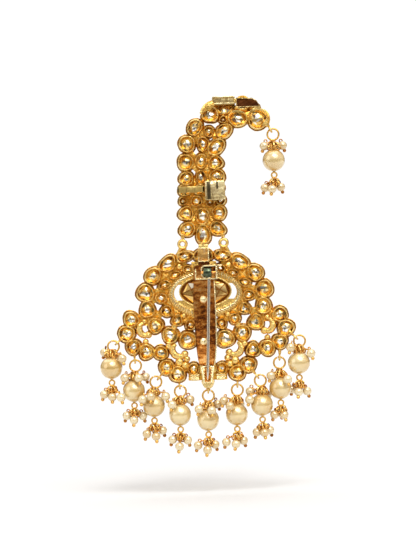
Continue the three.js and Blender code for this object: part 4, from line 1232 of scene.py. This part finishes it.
def drop_pieces(drop, body, rng):
    name = drop["name"]
    place = Matrix.Translation((drop["x"], 0, drop["z"]))
    dx, dz = drop["ring_x"] - drop["x"], drop["ring_z"] - drop["z"]
    meets = dz - math.sqrt(JUMP_RING ** 2 - dx ** 2)

    hanger = Piece(f"{name}_ring_and_wire", [GOLD], "gold", body, [f"{name}_hanger"])
    ring = Matrix.Translation((dx, 0, dz)) @ Matrix.Rotation(rng.uniform(-0.5, 0.5), 4, "Y")
    hanger.add(loop(JUMP_RING, WIRE, 36, 10, opening=5), place @ ring)
    hanger.add(wire([(0, 0, meets), (0, 0, EYE_Z + LOW_EYE)], WIRE, 10), place)
    hanger.add(loop(LOW_EYE, WIRE * 0.85, 20, 8), place @ Matrix.Translation((0, 0, EYE_Z)))
    hanger.done()

    big = Piece(f"{name}_big_pearl", [PEARL], "pearl", body, [f"{name}_pearl"])
    big.add(bored_pearl(BIG_PEARL, WIRE + GAP, 40, 24), place)
    big.done()

    seeds = Piece(f"{name}_seed_pearls", [SEED_PEARL], "pearl", body)
    wires = Piece(f"{name}_wound_wires", [WIRE_GOLD, GOLD], "gold", body,
                  [f"{name}_top_cluster", f"{name}_low_cluster"])
    wires.add(coil(0.8, COLLAR_Z - 0.35, meets - 0.1, 4, 0.24), place)
    for row in CROWNS:
        loops = crown(rng, row["height"], row["radius"], row["loops"], row["size"])
        wires.add_all(loops, place, row["finish"])
    wires.add(coil(0.5, KNOT_Z - 0.7, KNOT_Z + 0.9, 3, 0.2), place)
    for rows, height, reach in ((TOP_PEARLS[name], COLLAR_Z, 0.9), (LOW_PEARLS[name], KNOT_Z, 0.2)):
        for row in rows:
            lean = Vector((row[0], row[1], 0)).normalized() * reach
            metal, bead = strand_parts(row, lean + Vector((0, 0, height)))
            wires.add_all(metal, place)
            seeds.add(bead, place)
    wires.done()
    seeds.done()


# --- The studio -----------------------------------------------------------------------------------------

FLOOR_Z = -0.0590


def floor():
    """A plain white table whose front edge lies just outside the frame."""
    bm = bmesh.new()
    place = Matrix.Translation((0, 1.4, FLOOR_Z)) @ Matrix.Diagonal((3.0, 1.65, 1, 1))
    bmesh.ops.create_grid(bm, x_segments=1, y_segments=1, size=1, matrix=place)
    mesh = mesh_of(bm, "table_top")
    finish = Finish("white_table", Base_Color=(0.69, 0.69, 0.69, 1), Roughness=0.9)
    mesh.materials.append(finish.material)
    in_scene("table_top", mesh)


def room():
    """White to the camera. Metal sees a dark, warm band round the horizon, browner behind the object."""
    world = bpy.data.worlds.new("studio")
    bpy.context.scene.world = world
    world.use_nodes = True
    tree = world.node_tree
    tree.nodes.clear()
    direction = add_node(tree, "ShaderNodeTexCoord", {}, {}, "Generated")
    split = add_node(tree, "ShaderNodeSeparateXYZ", {}, {0: direction}).node

    def spread(axis, **limits):
        """A number that changes along an axis of the room."""
        inputs = {key.replace("_", " "): value for key, value in limits.items()}
        return add_node(tree, "ShaderNodeMapRange", {}, {"Value": split.outputs[axis], **inputs})

    stops = [(0.0, (0.8, 0.78, 0.74)), (0.33, (0.62, 0.58, 0.52)), (0.44, (0.26, 0.20, 0.14)),
             (0.54, (0.26, 0.20, 0.14)), (0.64, (0.8, 0.78, 0.74)), (0.85, (0.98, 0.97, 0.95)),
             (1.0, (1.0, 1.0, 1.0))]
    around = add_node(tree, "ShaderNodeValToRGB", {"stops": stops}, {0: spread("Z", From_Min=-1)})
    behind = spread("Y", From_Min=0.25, From_Max=0.8, To_Max=0.85)
    brown = (0.30, 0.18, 0.08, 1)
    tinted = add_node(tree, "ShaderNodeMix", {"data_type": "RGBA"}, {0: behind, 6: around, 7: brown}, 2)
    strength = spread("X", From_Min=-1, To_Min=0.7, To_Max=1.1)
    reflected = add_node(tree, "ShaderNodeBackground", {}, {"Color": tinted, "Strength": strength})
    white = add_node(tree, "ShaderNodeBackground", {}, {"Color": (1, 1, 1, 1), "Strength": 1.05})
    seen = add_node(tree, "ShaderNodeLightPath", {}, {}, "Is Camera Ray")
    mixed = add_node(tree, "ShaderNodeMixShader", {}, {0: seen, 1: reflected, 2: white})
    out = tree.nodes.new("ShaderNodeOutputWorld")
    tree.links.new(mixed, out.inputs[0])


def lamp(name, direction, strength, spread):
    """A soft white source as wide as an angle, in degrees, shining from a direction."""
    data = bpy.data.lights.new(name, "SUN")
    data.energy, data.angle = strength, math.radians(spread)
    made = in_scene(name, data)
    made.rotation_mode = "QUATERNION"
    made.rotation_quaternion = Vector(direction).to_track_quat("Z", "Y")


def camera():
    """Level with the plume's foot, square to the back, and rolled a little: the brooch leans to the left."""
    data = bpy.data.cameras.new("camera")
    data.lens, data.sensor_width = 135, 36
    data.clip_start, data.clip_end = 0.05, 20
    view_height, roll = 0.1998, math.radians(2.1)
    aim = Vector((0.00073, -NEEDLE_Y * 0.001, 0.0187))
    distance = view_height * data.lens / data.sensor_width
    made = in_scene("camera", data)
    made.matrix_world = (Matrix.Translation(aim - Vector((0, distance, 0)))
                         @ Matrix.Rotation(math.pi / 2, 4, "X") @ Matrix.Rotation(-roll, 4, "Z"))
    bpy.context.scene.camera = made


def build():
    plate_pieces()
    plume_pieces()
    centre_stone()
    prong_plate()
    rivets()
    hinge_housing()
    pin()
    pin_catch()
    neck_bracket()
    mid_holder()
    top_holder()
    mid_band()
    top_band()
    for number, drop in enumerate(DROPS):
        body = "tip_pendant" if drop["name"] == "tip_drop" else "brooch"
        drop_pieces(drop, body, random.Random(100 + number))


build()
floor()
room()
lamp("key", (0.27, -0.62, 0.72), 1.05, 46)
lamp("spark", (0.05, -0.6, 0.8), 0.85, 22)
lamp("top", (-0.1, 0.4, 0.9), 1.25, 80)
lamp("left", (-0.85, -0.4, 0.3), 0.35, 40)
camera()
bpy.context.scene.view_settings.view_transform = "Standard"
